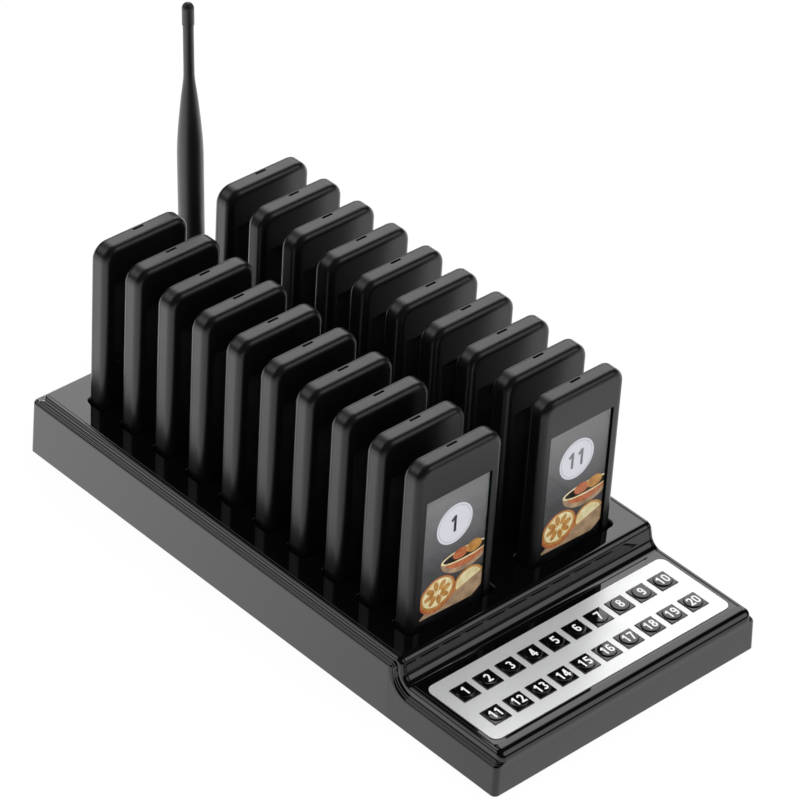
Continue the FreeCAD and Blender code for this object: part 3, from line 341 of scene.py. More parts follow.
SLOT_HALF_X, SLOT_HALF_Y, SLOT_CORNER = 26.7, 5.7, 2.3
SLOT_FLARE, SLOT_DEPTH, SLOT_FLOOR, SLEEVE_WALL = 1.7, 18.0, 1.6, 1.5
SLOTS = [(side * ROW_X, FIRST_PAGER + i * PITCH) for side in (-1, 1) for i in range(10)]
KEY_HOLE_HALF, KEY_HALF, FILM_WINDOW_HALF = 5.45, 5.15, 5.3
KEYS = [(KEY_PITCH * (i - 4.5), KEY_ROWS_MIDDLE + side * KEY_ROW_GAP / 2)
        for side in (1, -1) for i in range(10)]
CONTACT_WINDOW = (10.5, 1.8)


def sunk_slot(bm, x, y):
    """One slot with its rounded mouth, sleeve and contact window. Returns its mouth and its outer foot."""
    rings = [ring(bm, slot_outline(x, y, grow, DECK - below)) for grow, below in quarter(SLOT_FLARE, 6)[::-1]]
    bottom = ring(bm, slot_outline(x, y, 0, DECK - SLOT_DEPTH))
    bridge_all(bm, rings + [bottom])
    window = ring(bm, box_outline(x, y, *CONTACT_WINDOW, DECK - SLOT_DEPTH))
    fill(bm, bottom, [window])
    outlet = ring(bm, box_outline(x, y, *CONTACT_WINDOW, DECK - SLOT_DEPTH - SLOT_FLOOR))
    bridge(bm, window, outlet)
    sleeve = (SLOT_HALF_X + SLEEVE_WALL, SLOT_HALF_Y + SLEEVE_WALL)
    foot = ring(bm, box_outline(x, y, *sleeve, DECK - SLOT_DEPTH - SLOT_FLOOR))
    fill(bm, foot, [outlet])
    top = ring(bm, box_outline(x, y, *sleeve, DECK - WALL))
    bridge(bm, foot, top)
    return rings[0], top


def stepped_surface(bm, loop, deck_holes, floor_holes):
    """Spans a loop round the base: keypad floor, step and deck, with holes in the two level parts."""
    corner, climb = CORNER_STEPS + 1, 2 * (ARC_STEPS + 1)
    front, right = loop[:2 * corner], loop[2 * corner:2 * corner + climb]
    rear, left = loop[2 * corner + climb:4 * corner + climb], loop[4 * corner + climb:][::-1]
    fill(bm, front + [right[0], left[0]], floor_holes)
    for i in range(climb - 1):
        bm.faces.new((left[i], right[i], right[i + 1], left[i + 1]))
    fill(bm, [right[-1]] + rear + [left[-1]], deck_holes)


def housing_mesh():
    """The housing as one closed shell, with its slots and key holes."""
    bm = bmesh.new()
    outside = [ring(bm, points) for points in shell_loops()]
    inside = [even_loop(CREST_INSET, SIDE_UNDER, 0, 0.8), even_loop(WALL + 0.6, SIDE_LEDGE, WALL + 1.6, 0.8),
              level_loop(WALL, BOTTOM + 0.5, 1.2), level_loop(WALL - 0.1, BOTTOM, 1.2)]
    inside = [ring(bm, points) for points in inside]
    bridge_all(bm, inside + outside)
    mouths, feet = zip(*[sunk_slot(bm, x, y) for x, y in SLOTS])
    tops = [ring(bm, box_outline(x, y, KEY_HOLE_HALF, KEY_HOLE_HALF, KEY_FLOOR)) for x, y in KEYS]
    bottoms = [ring(bm, box_outline(x, y, KEY_HOLE_HALF, KEY_HOLE_HALF, KEY_FLOOR - WALL)) for x, y in KEYS]
    for top, bottom in zip(tops, bottoms):
        bridge(bm, top, bottom)
    stepped_surface(bm, outside[-1], mouths, tops)
    stepped_surface(bm, inside[0], feet, bottoms)
    return finish_mesh(bm, "housing")


# Pagers, each built round the middle of its foot with its face towards -Y
PAGER_HALF, PAGER_HEIGHT, PAGER_TOP, PAGER_FOOT = 25.9, 107.8, 8.0, 5.0
FACE, BACK, SEAM = -5.0, 5.0, 3.0
FACE_ROUND, BACK_ROUND, BACK_ROUND_SIDE = 3.5, 1.85, 0.8
WINDOW_HALF, WINDOW_LOW, WINDOW_HIGH = 19.9, 13.4, 87.8
CARD_FRONT, CARD_BACK = FACE + 1.9, FACE + 2.1
PANE_FRONT, PANE_BACK = FACE + 1.2, FACE + 1.8
SEAM_GAP, POCKET_GROW, INNER_INSET = 0.12, 2.1, 1.6
SOUND_HOLE, SOUND_HOLE_Y = (3.15, 0.6), 2.2
PAGER_REST = 17.1
PAGERS = [(f"pager_{i + 1:02d}", x, y) for i, (x, y) in enumerate(SLOTS)]


def pager_ring(bm, inset, y, top_inset=None):
    high = PAGER_HEIGHT - (inset if top_inset is None else top_inset)
    outline = rounded_outline(-PAGER_HALF + inset, PAGER_HALF - inset, inset, high,
                              max(PAGER_FOOT - inset, 0.5), max(PAGER_TOP - inset, 0.5), 9)
    return ring(bm, [(x, y, z) for x, z in outline])


def window_ring(bm, grow, y):
    outline = rounded_outline(-WINDOW_HALF - grow, WINDOW_HALF + grow, WINDOW_LOW - grow, WINDOW_HIGH + grow,
                              0.3, 0.3, 9)
    return ring(bm, [(x, y, z) for x, z in outline])


def front_shell_mesh():
    bm = bmesh.new()
    rings = [pager_ring(bm, SEAM_GAP, SEAM), pager_ring(bm, 0, SEAM - SEAM_GAP)]
    rings += [pager_ring(bm, a, FACE + b) for a, b in quarter(FACE_ROUND, 8)]
    rings += [window_ring(bm, 0.15, FACE), window_ring(bm, 0, FACE + 0.15), window_ring(bm, 0, PANE_FRONT),
              window_ring(bm, POCKET_GROW, PANE_FRONT), window_ring(bm, POCKET_GROW, CARD_BACK),
              pager_ring(bm, INNER_INSET, CARD_BACK), pager_ring(bm, INNER_INSET, SEAM)]
    bridge_all(bm, rings + rings[:1])
    top = min(bm.faces, key=lambda f: (f.calc_center_median() - Vector((0, 0.7, PAGER_HEIGHT)) * MM).length)
    border = list(top.verts)
    bm.faces.remove(top)
    mouth = ring(bm, box_outline(0, SOUND_HOLE_Y, *SOUND_HOLE, PAGER_HEIGHT))
    floor = ring(bm, box_outline(0, SOUND_HOLE_Y, *SOUND_HOLE, PAGER_HEIGHT - 1.0))
    fill(bm, border, [mouth])
    bridge(bm, mouth, floor)
    bm.faces.new(floor)
    return finish_mesh(bm, "pager_front_shell")


def rear_shell_mesh():
    bm = bmesh.new()
    rings = [pager_ring(bm, SEAM_GAP, SEAM), pager_ring(bm, 0, SEAM + SEAM_GAP)]
    rings += [pager_ring(bm, a * BACK_ROUND_SIDE / BACK_ROUND, BACK - b, a)
              for a, b in quarter(BACK_ROUND, 7)]
    closed_solid(bm, rings)
    return finish_mesh(bm, "pager_rear_shell")


def plate_mesh(name, half_x, low, high, near, far):
    bm = bmesh.new()
    corners = [(-half_x, low), (half_x, low), (half_x, high), (-half_x, high)]
    closed_solid(bm, [ring(bm, [(x, y, z) for x, z in corners]) for y in (near, far)])
    return finish_mesh(bm, name)


def turned_mesh(name, profile, steps):
    """A solid of revolution about Z from pairs of radius and height, closed at both ends."""
    bm = bmesh.new()
    spokes = [2 * math.pi * i / steps for i in range(steps)]
    closed_solid(bm, [ring(bm, [(radius * math.cos(a), radius * math.sin(a), height) for a in spokes])
                      for radius, height in profile])
    return finish_mesh(bm, name)


# Materials
FLOAT, VECTOR, COLOR = "NodeSocketFloat", "NodeSocketVector", "NodeSocketColor"


def feed(tree, made, inputs):
    """Gives each input of a node a value, or a link from another node's output."""
    for name, value in inputs.items():
        if isinstance(value, bpy.types.NodeSocket):
            tree.links.new(value, made.inputs[name])
        else:
            made.inputs[name].default_value = value


def node(tree, kind, inputs=None, **settings):
    made = tree.nodes.new(kind)
    for name, value in settings.items():
        setattr(made, name, value)
    feed(tree, made, inputs or {})
    return made


def object_place(tree):
    return node(tree, "ShaderNodeTexCoord").outputs["Object"]


def noise(tree, place, scale, detail):
    made = node(tree, "ShaderNodeTexNoise", {"Vector": place, "Scale": scale, "Detail": detail})
    return made.outputs["Fac"]


def map_range(tree, value, low, high, from_low, from_high):
    made = node(tree, "ShaderNodeMapRange", {"Value": value, "From Min": from_low, "From Max": from_high,
                                             "To Min": low, "To Max": high})
    return made.outputs["Result"]


def group(name, inputs, outputs):
    """A shader node group, what it is given, and the node that takes its results."""
    tree = bpy.data.node_groups.new(name, "ShaderNodeTree")
    for label, kind, value in inputs:
        socket = tree.interface.new_socket(name=label, in_out="INPUT", socket_type=kind)
        socket.default_value = value
    for label, kind in outputs:
        tree.interface.new_socket(name=label, in_out="OUTPUT", socket_type=kind)
    return tree, node(tree, "NodeGroupInput").outputs, node(tree, "NodeGroupOutput")


def polish_group():
    """Polished plastic: a hardly uneven surface with faint wiping marks in its gloss."""
    tree, given, result = group("polish", [
        ("Clean", FLOAT, 0.05), ("Wiped", FLOAT, 0.1), ("Mark Scale", FLOAT, 30.0),
        ("Wave Relief", FLOAT, 0.00002)], [("Roughness", FLOAT), ("Normal", VECTOR)])
    place = object_place(tree)
    marks = noise(tree, place, given["Mark Scale"], 4.0)
    bump = node(tree, "ShaderNodeBump", {"Strength": 0.5, "Distance": given["Wave Relief"],
                                         "Height": noise(tree, place, 18.0, 1.0)})
    feed(tree, result, {"Roughness": map_range(tree, marks, given["Clean"], given["Wiped"], 0.4, 0.75),
                        "Normal": bump.outputs["Normal"]})
    return tree


def grain_group():
    """Moulded grain: fine pits in the surface with a slightly uneven sheen."""
    tree, given, result = group("moulded_grain", [
        ("Grain Scale", FLOAT, 2500.0), ("Relief", FLOAT, 0.00002), ("Smooth", FLOAT, 0.35),
        ("Rough", FLOAT, 0.5)], [("Roughness", FLOAT), ("Normal", VECTOR), ("Mask", FLOAT)])
    place = object_place(tree)
    patches = noise(tree, place, 60.0, 3.0)
    bump = node(tree, "ShaderNodeBump", {"Strength": 0.6, "Distance": given["Relief"],
                                         "Height": noise(tree, place, given["Grain Scale"], 3.0)})
    feed(tree, result, {"Roughness": map_range(tree, patches, given["Smooth"], given["Rough"], 0.3, 0.7),
                        "Normal": bump.outputs["Normal"], "Mask": patches})
    return tree


def card_fade_group():
    """How high up the card a point lies, from 0 to 1, with soft clouds in it."""
    tree, _, result = group("card_fade", [], [("Height", FLOAT)])
    place = object_place(tree)
    parts = node(tree, "ShaderNodeSeparateXYZ", {"Vector": place})
    height = map_range(tree, parts.outputs["Z"], -0.06, 0.94, WINDOW_LOW * MM, WINDOW_HIGH * MM)
    cloudy = node(tree, "ShaderNodeMath", {0: noise(tree, place, 90.0, 3.0), 1: 0.12, 2: height},
                  operation="MULTIPLY_ADD")
    feed(tree, result, {"Height": cloudy.outputs["Value"]})
    return tree


def two_tone_group():
    """A printed colour that wanders between two tones."""
    tree, given, result = group("two_tone", [
        ("First", COLOR, (0.5, 0.5, 0.5, 1)), ("Second", COLOR, (0.5, 0.5, 0.5, 1)), ("Scale", FLOAT, 200.0)],
        [("Color", COLOR)])
    share = map_range(tree, noise(tree, object_place(tree), given["Scale"], 3.0), 0.0, 1.0, 0.35, 0.65)
    mix = node(tree, "ShaderNodeMix", data_type="RGBA")
    feed(tree, mix, {"A": given["First"], "B": given["Second"], "Factor": share})
    feed(tree, result, {"Color": mix.outputs["Result"]})
    return tree


POLISH, GRAIN, CARD_FADE, TWO_TONE = polish_group(), grain_group(), card_fade_group(), two_tone_group()


def new_material(name, color, **sockets):
    material = bpy.data.materials.new(name)
    material.use_nodes = True
    tree = material.node_tree
    shader = tree.nodes["Principled BSDF"]
    feed(tree, shader, {"Base Color": (*color, 1)})
    feed(tree, shader, {socket.replace("_", " "): value for socket, value in sockets.items()})
    return material, tree, shader


def use_group(tree, shader, kind, values):
    """Places a surface group in a material with values of its own."""
    made = node(tree, "ShaderNodeGroup", values, node_tree=kind)
    feed(tree, shader, {name: made.outputs[name] for name in ("Roughness", "Normal")})
    return made


def polished(name, color, clean, wiped, **sockets):
    material, tree, shader = new_material(name, color, **sockets)
    use_group(tree, shader, POLISH, {"Clean": clean, "Wiped": wiped})
    return material


def grained(name, color, smooth, rough, relief=0.00002, scale=2500.0, shade=0.15, **sockets):
    """Moulded plastic, rubber or board: grain, and a colour that varies a little over the surface."""
    material, tree, shader = new_material(name, color, **sockets)
    made = use_group(tree, shader, GRAIN, {"Smooth": smooth, "Rough": rough, "Relief": relief,
                                           "Grain Scale": scale})
    tones = node(tree, "ShaderNodeMix", data_type="RGBA")
    feed(tree, tones, {"A": (*[c * (1 - shade) for c in color], 1),
                       "B": (*[min(c * (1 + shade), 1) for c in color], 1), "Factor": made.outputs["Mask"]})
    feed(tree, shader, {"Base Color": tones.outputs["Result"]})
    return material


housing_black = polished("housing_black", (0.002, 0.002, 0.0022), 0.03, 0.06, IOR=1.5)
key_black = polished("key_black", (0.002, 0.002, 0.0022), 0.06, 0.1, IOR=1.45)
pager_black = grained("pager_black", (0.003, 0.003, 0.0032), 0.32, 0.37, relief=0.000005, scale=3500.0,
                      IOR=1.43)
antenna_black = grained("antenna_black", (0.006, 0.006, 0.0065), 0.4, 0.48, relief=0.00001)
cover_black = grained("cover_black", (0.02, 0.02, 0.021), 0.5, 0.6)
white_print = grained("white_print", (0.85, 0.85, 0.85), 0.4, 0.5, relief=0.000002, shade=0.02)
dark_print = grained("dark_print", (0.035, 0.035, 0.045), 0.4, 0.5, relief=0.000002, shade=0.05)
disc_white = grained("disc_white", (0.72, 0.72, 0.78), 0.4, 0.5, relief=0.000002, shade=0.02)
# Near-black copy of the white disc for the pagers behind: painted shade between the pagers
disc_painted_shade = grained("disc_painted_shade", (0.006, 0.006, 0.007), 0.4, 0.5, relief=0.000002, shade=0.02)
grey_print = grained("grey_print", (0.2, 0.2, 0.22), 0.4, 0.5, relief=0.000002, shade=0.02)
disc_line = grained("disc_line", (0.45, 0.45, 0.52), 0.4, 0.5, relief=0.000002, shade=0.02)
foot_rubber = grained("foot_rubber", (0.02, 0.02, 0.02), 0.7, 0.8, relief=0.00004)
board_green = grained("board_green", (0.02, 0.11, 0.045), 0.25, 0.35, relief=0.00001, scale=900.0)
switch_black = grained("switch_black", (0.02, 0.02, 0.022), 0.4, 0.5)
ribbon_grey = grained("ribbon_grey", (0.55, 0.55, 0.52), 0.4, 0.5, shade=0.05)
battery_wrap = grained("battery_wrap", (0.4, 0.42, 0.45), 0.3, 0.4, shade=0.05)
plated_gold = grained("plated_gold", (0.83, 0.62, 0.28), 0.18, 0.28, relief=0.000005, shade=0.06,
                      Metallic=1.0)
zinc_steel = grained("zinc_steel", (0.55, 0.56, 0.58), 0.25, 0.4, relief=0.000008, shade=0.08, Metallic=1.0)
inlet_black = grained("inlet_black", (0.012, 0.012, 0.013), 0.35, 0.45)


def film_material():
    """Silver grey film: a fine metallic fleck under a soft sheen."""
    material, tree, shader = new_material("film_silver", (0.62, 0.62, 0.62), Metallic=0.3)
    use_group(tree, shader, GRAIN, {"Smooth": 0.3, "Rough": 0.36, "Relief": 0.000004, "Grain Scale": 4000.0})
    tones = node(tree, "ShaderNodeMix", data_type="RGBA")
    feed(tree, tones, {"A": (0.54, 0.545, 0.55, 1), "B": (0.7, 0.705, 0.71, 1),
                       "Factor": noise(tree, object_place(tree), 5200.0, 1.0)})
    feed(tree, shader, {"Base Color": tones.outputs["Result"]})
    return material


def pane_material():
    """Clear pane. It lets light through to its card; to glossy rays it shows a near-black matte, a painted
    dark reflection where the glossy deck mirrors it.
    """
    material, tree, shader = new_material("pane_clear", (1, 1, 1), Roughness=0.02, IOR=1.15,
                                          Transmission_Weight=1.0)
    path = node(tree, "ShaderNodeLightPath").outputs
    clear = node(tree, "ShaderNodeBsdfTransparent").outputs["BSDF"]
    # Near-black matte shown to glossy rays: painted dark reflection of the pane in the deck
    dark = node(tree, "ShaderNodeBsdfDiffuse", {"Color": (0.004, 0.004, 0.004, 1)}).outputs["BSDF"]
    seen = node(tree, "ShaderNodeMixShader", {0: path["Is Shadow Ray"], 1: shader.outputs["BSDF"], 2: clear})
    reflected = node(tree, "ShaderNodeMath", {0: path["Is Glossy Ray"], 1: path["Is Transmission Ray"]},
                     operation="SUBTRACT", use_clamp=True)
    surface = node(tree, "ShaderNodeMixShader", {0: reflected.outputs["Value"], 1: seen.outputs["Shader"],
                                                 2: dark})
    feed(tree, tree.nodes["Material Output"], {"Surface": surface.outputs["Shader"]})
    return material


film_silver, pane_clear = film_material(), pane_material()


def card_material(name, stops):
    """Printed card: a grey sky that darkens downwards, slate at the foot."""
    material, tree, shader = new_material(name, (0.2, 0.2, 0.2), Roughness=0.45)
    fade = node(tree, "ShaderNodeGroup", node_tree=CARD_FADE)
    ramp = node(tree, "ShaderNodeValToRGB", {"Fac": fade.outputs["Height"]})
    while len(ramp.color_ramp.elements) < len(stops):
        ramp.color_ramp.elements.new(0.5)
    for element, (where, color) in zip(ramp.color_ramp.elements, stops):
        element.position, element.color = where, (*color, 1)
    feed(tree, shader, {"Base Color": ramp.outputs["Color"]})
    return material


def printed(name, first, second, scale):
    """Print in a colour that wanders between two tones."""
    material, tree, shader = new_material(name, first, Roughness=0.45)
    made = node(tree, "ShaderNodeGroup", {"First": (*first, 1), "Second": (*second, 1), "Scale": scale},
                node_tree=TWO_TONE)
    feed(tree, shader, {"Base Color": made.outputs["Color"]})
    return material


card_print = card_material("card_print", [
    (0.0, (0.006, 0.006, 0.007)), (0.12, (0.008, 0.008, 0.01)), (0.2, (0.03, 0.03, 0.033)),
    (0.5, (0.1, 0.1, 0.105)), (1.0, (0.24, 0.24, 0.245))])
# Near-black copy of the card for the pagers behind the front two: painted shade between the pagers, not print
card_painted_shade = card_material("card_painted_shade", [(0.0, (0.004, 0.004, 0.004)), (1.0, (0.012, 0.012, 0.013))])


print_amber = printed("print_amber", (0.42, 0.17, 0.03), (0.62, 0.33, 0.08), 300.0)
print_cream = printed("print_cream", (0.72, 0.6, 0.3), (0.85, 0.78, 0.5), 260.0)
print_rust = printed("print_rust", (0.4, 0.09, 0.03), (0.6, 0.2, 0.07), 500.0)
print_tan = printed("print_tan", (0.3, 0.2, 0.12), (0.5, 0.34, 0.2), 200.0)
print_night = printed("print_night", (0.012, 0.011, 0.011), (0.03, 0.026, 0.024), 200.0)

# CAD nodes that show as they are
for name, material in {
        "bottom_cover": cover_black, "rubber_feet": foot_rubber, "case_screws": zinc_steel,
        "charging_board": board_green, "charging_contacts": plated_gold, "keypad_board": board_green,
        "key_switches": switch_black, "link_ribbon": ribbon_grey, "dc_inlet": inlet_black,
        "antenna_jack": plated_gold, "antenna_knuckle": antenna_black, "antenna_hinge_pin": zinc_steel,
        "pager_01_circuit_board": board_green, "pager_01_battery": battery_wrap}.items():
    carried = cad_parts[name]
    carried.data.materials.clear()
    carried.data.materials.append(material)

# Base
FILM_HALF_X, FILM_HALF_Y, FILM_MIDDLE, FILM_CORNER, FILM_THICK = 75.2, 22.9, -130.8, 4, 0.4


def film_mesh():
    bm = bmesh.new()
    outline = rounded_outline(-FILM_HALF_X, FILM_HALF_X, FILM_MIDDLE - FILM_HALF_Y, FILM_MIDDLE + FILM_HALF_Y,
                              FILM_CORNER, FILM_CORNER, 8)
    levels = (KEY_FLOOR, KEY_FLOOR + FILM_THICK)
    low, high = (ring(bm, [(x, y, z) for x, y in outline]) for z in levels)
    bridge(bm, low, high)
    windows = [[ring(bm, box_outline(x, y, FILM_WINDOW_HALF, FILM_WINDOW_HALF, z)) for x, y in KEYS]
               for z in levels]
    for first, second in zip(*windows):
        bridge(bm, first, second)
    fill(bm, low, windows[0])
    fill(bm, high, windows[1])
    return finish_mesh(bm, "keypad_film")


add_piece("housing", housing_mesh(), housing_black, "base", replaces=["top_housing"], slot="housing_gloss")
add_piece("keypad_film", film_mesh(), film_silver, "base", replaces=["key_overlay"], slot="keypad_film")

# Keys
CAP_TOP, BUTTON_TOP, BUTTON_DOME = 0.9, 1.6, 0.12
BUTTON_RADIUS, BUTTON_EDGE = 4.7, 0.6


def key_cap_mesh():
    """A key about its middle on the keypad floor: square cap, flange and stem."""
    bm = bmesh.new()
    stem, flange, bevel = 1.4, 6.1, 0.12
    levels = [(stem, -5.4), (stem, -3.3), (flange, -3.3), (flange, -2.3), (KEY_HALF, -2.3),
              (KEY_HALF, CAP_TOP - bevel), (KEY_HALF - bevel, CAP_TOP)]
    closed_solid(bm, [ring(bm, box_outline(0, 0, half, half, z)) for half, z in levels])
    return finish_mesh(bm, "key_cap")


def button_mesh():
    """A round button with a hardly domed top and a full round edge."""
    top = BUTTON_TOP - BUTTON_DOME
    profile = [(BUTTON_RADIUS, CAP_TOP - 0.1), (BUTTON_RADIUS, top - BUTTON_EDGE)]
    profile += [(BUTTON_RADIUS - a, top - b) for a, b in quarter(BUTTON_EDGE, 6)]
    profile += [(BUTTON_RADIUS - BUTTON_EDGE - 1.0 - i, BUTTON_TOP - BUTTON_DOME * (1 - ((i + 1) / 4) ** 0.7))
                for i in range(3)]
    profile += [(0.05, BUTTON_TOP)]
    return turned_mesh("key_button", profile, 40)


# Figures: width, gap and stroke as shares of their height, then their heights on keys and discs
FIGURE_WIDTH, FIGURE_GAP, FIGURE_STROKE = 0.55, 0.1, 0.17
KEY_FIGURES, CARD_FIGURES = 5.3, 9.2


def bend(x, y, radius_x, radius_y, start, end, steps=14):
    """Points along part of an ellipse, in degrees from the right."""
    turns = [math.radians(start + (end - start) * i / steps) for i in range(steps + 1)]
    return [(x + radius_x * math.cos(t), y + radius_y * math.sin(t)) for t in turns]


def figure_strokes():
    """Middle lines of the plain figures 0 to 9, one high, each with whether it closes on itself."""
    edge = FIGURE_STROKE / 2
    left, right, middle = edge, FIGURE_WIDTH - edge, FIGURE_WIDTH / 2
    wide, top = (right - left) / 2, 1 - edge
    loop_low = bend(middle, 0.31, wide, 0.31 - edge, 0, 345, 23)
    loop_high = bend(middle, 0.745, wide * 0.92, 0.255 - edge, 0, 345, 23)
    six_back = bend(middle, 0.66, wide, 0.34 - edge, 35, 180) + [(left, 0.31)]
    return {
        "0": [(bend(middle, 0.7, wide, 0.3 - edge, 0, 180)
               + bend(middle, 0.3, wide, 0.3 - edge, 180, 360), True)],
        "1": [([(0.3, 0.0), (0.3, 1.0)], False), ([(0.06, 0.72), (0.27, 0.9)], False)],
        "2": [(bend(middle, 0.69, wide, 0.31 - edge, 170, -25) + [(left + 0.06, edge)], False),
              ([(0.0, edge), (FIGURE_WIDTH, edge)], False)],
        "3": [(bend(middle - 0.02, 0.74, wide, 0.26 - edge, 150, -85), False),
              (bend(middle - 0.02, 0.29, wide + 0.01, 0.29 - edge, 85, -150), False)],
        "4": [([(0.38, 0.0), (0.38, 1.0)], False), ([(0.0, 0.27), (FIGURE_WIDTH + 0.03, 0.27)], False),
              ([(0.34, 0.94), (0.07, 0.3)], False)],
        "5": [([(0.06, top), (FIGURE_WIDTH - 0.02, top)], False), ([(0.12, top), (0.1, 0.5)], False),
              (bend(middle - 0.01, 0.33, wide, 0.33 - edge, 125, -150), False)],
        "6": [(loop_low, True), (six_back, False)],
        "7": [([(0.0, top), (FIGURE_WIDTH, top)], False), ([(right, top), (0.17, 0.0)], False)],
        "8": [(loop_low, True), (loop_high, True)],
        "9": [([(FIGURE_WIDTH - x, 1 - y) for x, y in loop_low], True),
              ([(FIGURE_WIDTH - x, 1 - y) for x, y in six_back], False)]}


STROKES = figure_strokes()


def add_stroke(bm, points, closed, half, low, high):
    """A flat bar of one width along a line."""
    count = len(points)
    sections = []
    for i, (x, y) in enumerate(points):
        before = points[i - 1] if closed or i else (x, y)
        after = points[(i + 1) % count] if closed or i < count - 1 else (x, y)
        along = Vector((after[0] - before[0], after[1] - before[1])).normalized()
        across_x, across_y = -along.y * half, along.x * half
        sections.append(ring(bm, [(x + across_x * way, y + across_y * way, z)
                                  for way, z in ((1, low), (-1, low), (-1, high), (1, high))]))
    if closed:
        bridge_all(bm, sections + sections[:1])
    else:
        closed_solid(bm, sections)


def number_mesh(text, height, depth):
    """Plain figures, centred, lying face up with their top towards +Y."""
    bm = bmesh.new()
    advance = FIGURE_WIDTH + FIGURE_GAP
    start = -(len(text) * advance - FIGURE_GAP) / 2
    for place, figure in enumerate(text):
        for layer, (line, closed) in enumerate(STROKES[figure]):
            points = [((start + place * advance + x) * height, (y - 0.5) * height) for x, y in line]
            add_stroke(bm, points, closed, FIGURE_STROKE / 2 * height, -0.01 * layer, depth - 0.004 * layer)
    return finish_mesh(bm, "figures_" + text, weighted=False)


cap_mesh, dome_mesh = key_cap_mesh(), button_mesh()
for i, (x, y) in enumerate(KEYS, start=1):
    body = f"key_{i:02d}"
    place = moved(x, y, KEY_FLOOR)
    add_piece(f"key_cap_{i:02d}", cap_mesh, key_black, body, replaces=[body], slot="key_plastic", at=place)
    add_piece(f"key_button_{i:02d}", dome_mesh, key_black, body, slot="key_plastic", at=place)
    add_piece(f"key_figures_{i:02d}", number_mesh(str(i), KEY_FIGURES, 0.18), white_print, body,
              at=place @ moved(0, 0, BUTTON_TOP - 0.14))

# Pagers
front_mesh, rear_mesh = front_shell_mesh(), rear_shell_mesh()
pane_mesh = plate_mesh("pane", WINDOW_HALF, WINDOW_LOW, WINDOW_HIGH, PANE_FRONT, PANE_BACK)
card_mesh, dark_card_mesh = (plate_mesh(name, WINDOW_HALF, WINDOW_LOW, WINDOW_HIGH, CARD_FRONT, CARD_BACK)
                             for name in ("card", "dark_card"))
DISC_MIDDLE, DISC_RADIUS, DISC_THICK = 66.4, 10.9, 0.02
STAND_UP = Matrix.Rotation(math.radians(90), 4, "X")


def disc_mesh(name, outer, inner, thickness):
    """A flat disc, or a flat ring where it has an inner radius."""
    bm = bmesh.new()
    spokes = [2 * math.pi * i / 64 for i in range(64)]
    levels = [(outer, 0), (outer, thickness)] + ([(inner, thickness), (inner, 0)] if inner else [])
    rings = [ring(bm, [(r * math.cos(a), r * math.sin(a), z) for a in spokes]) for r, z in levels]
    if inner:
        bridge_all(bm, rings + rings[:1])
    else:
        closed_solid(bm, rings)
    return finish_mesh(bm, name)


disc_face, disc_dim = (disc_mesh(name, DISC_RADIUS, 0, DISC_THICK)
                       for name in ("card_disc", "dark_card_disc"))
disc_rim = disc_mesh("card_disc_line", outer=9.9, inner=9.6, thickness=0.015)


def flat_shape(name, points, low, high):
    """A printed shape from points on the card, face towards +Z before it is stood up."""
    bm = bmesh.new()
    closed_solid(bm, [ring(bm, [(x, y, z) for x, y in points]) for z in (low, high)])
    return finish_mesh(bm, name, weighted=False)


def oval(x, y, radius_x, radius_y, start=0, end=345, steps=23, tilt=0.0):
    """Points round an oval, or along part of it, tilted by an angle."""
    cosine, sine = math.cos(math.radians(tilt)), math.sin(math.radians(tilt))
    return [(x + px * cosine - py * sine, y + px * sine + py * cosine)
            for px, py in bend(0, 0, radius_x, radius_y, start, end, steps)]


def in_window(points):
    """Cuts an outline at the window's right and left edges."""
    for sign in (1, -1):
        limit, kept = WINDOW_HALF - 0.1, []
        for (ax, ay), (bx, by) in zip(points, points[1:] + points[:1]):
            if sign * ax <= limit:
                kept.append((ax, ay))
            if (sign * ax <= limit) != (sign * bx <= limit):
                share = (sign * limit - ax) / (bx - ax)
                kept.append((sign * limit, ay + (by - ay) * share))
        points = kept
    return points


def fruit_picture():
    """A still life of a bowl and cut fruit, as outlines and materials from the back to the front."""
    picture = [
        ("board", [(-19.8, 19.0), (14.0, 18.0), (19.8, 22.0), (19.8, 30.0), (-6.0, 28.0)], print_tan),
        ("bowl", oval(8.5, 46.0, 15.5, 9.5, 180, 360, 20), print_tan),
        ("bowl_shade", oval(8.5, 45.2, 12.5, 6.2, 180, 360, 20), print_rust),
        ("bowl_mouth", oval(8.5, 46.2, 15.5, 3.6), print_cream),
        ("bowl_inside", oval(8.5, 46.2, 14.0, 2.7), print_night),
        ("berries", oval(5.0, 47.2, 4.6, 3.0), print_rust),
        ("plum", oval(13.5, 47.6, 4.8, 3.3), print_amber),
        ("slice_rind", oval(11.5, 28.0, 9.4, 8.2, 20, 200, 20), print_amber),
        ("slice_pith", oval(11.5, 28.4, 7.9, 6.6, 20, 200, 20), print_cream),
        ("half_rind", oval(-8.0, 29.6, 11.2, 9.6, tilt=12), print_rust),
        ("half_edge", oval(-8.0, 30.2, 10.4, 8.6, tilt=12), print_amber),
        ("half_pith", oval(-8.0, 30.6, 9.2, 7.4, tilt=12), print_cream)]
    for i in range(8):
        spoke = math.radians(45 * i + 12)
        middle = (-8.0 + 5.2 * math.cos(spoke), 30.6 + 4.2 * math.sin(spoke))
        picture.append((f"segment_{i + 1}", oval(*middle, 2.9, 1.5, tilt=math.degrees(spoke)), print_amber))
    return picture


PICTURE = [(name, flat_shape("picture_" + name, in_window(points), 0.0, 0.004 * (step + 1)), material)
           for step, (name, points, material) in enumerate(fruit_picture())]
FRONT_PAGERS = (1, 11)

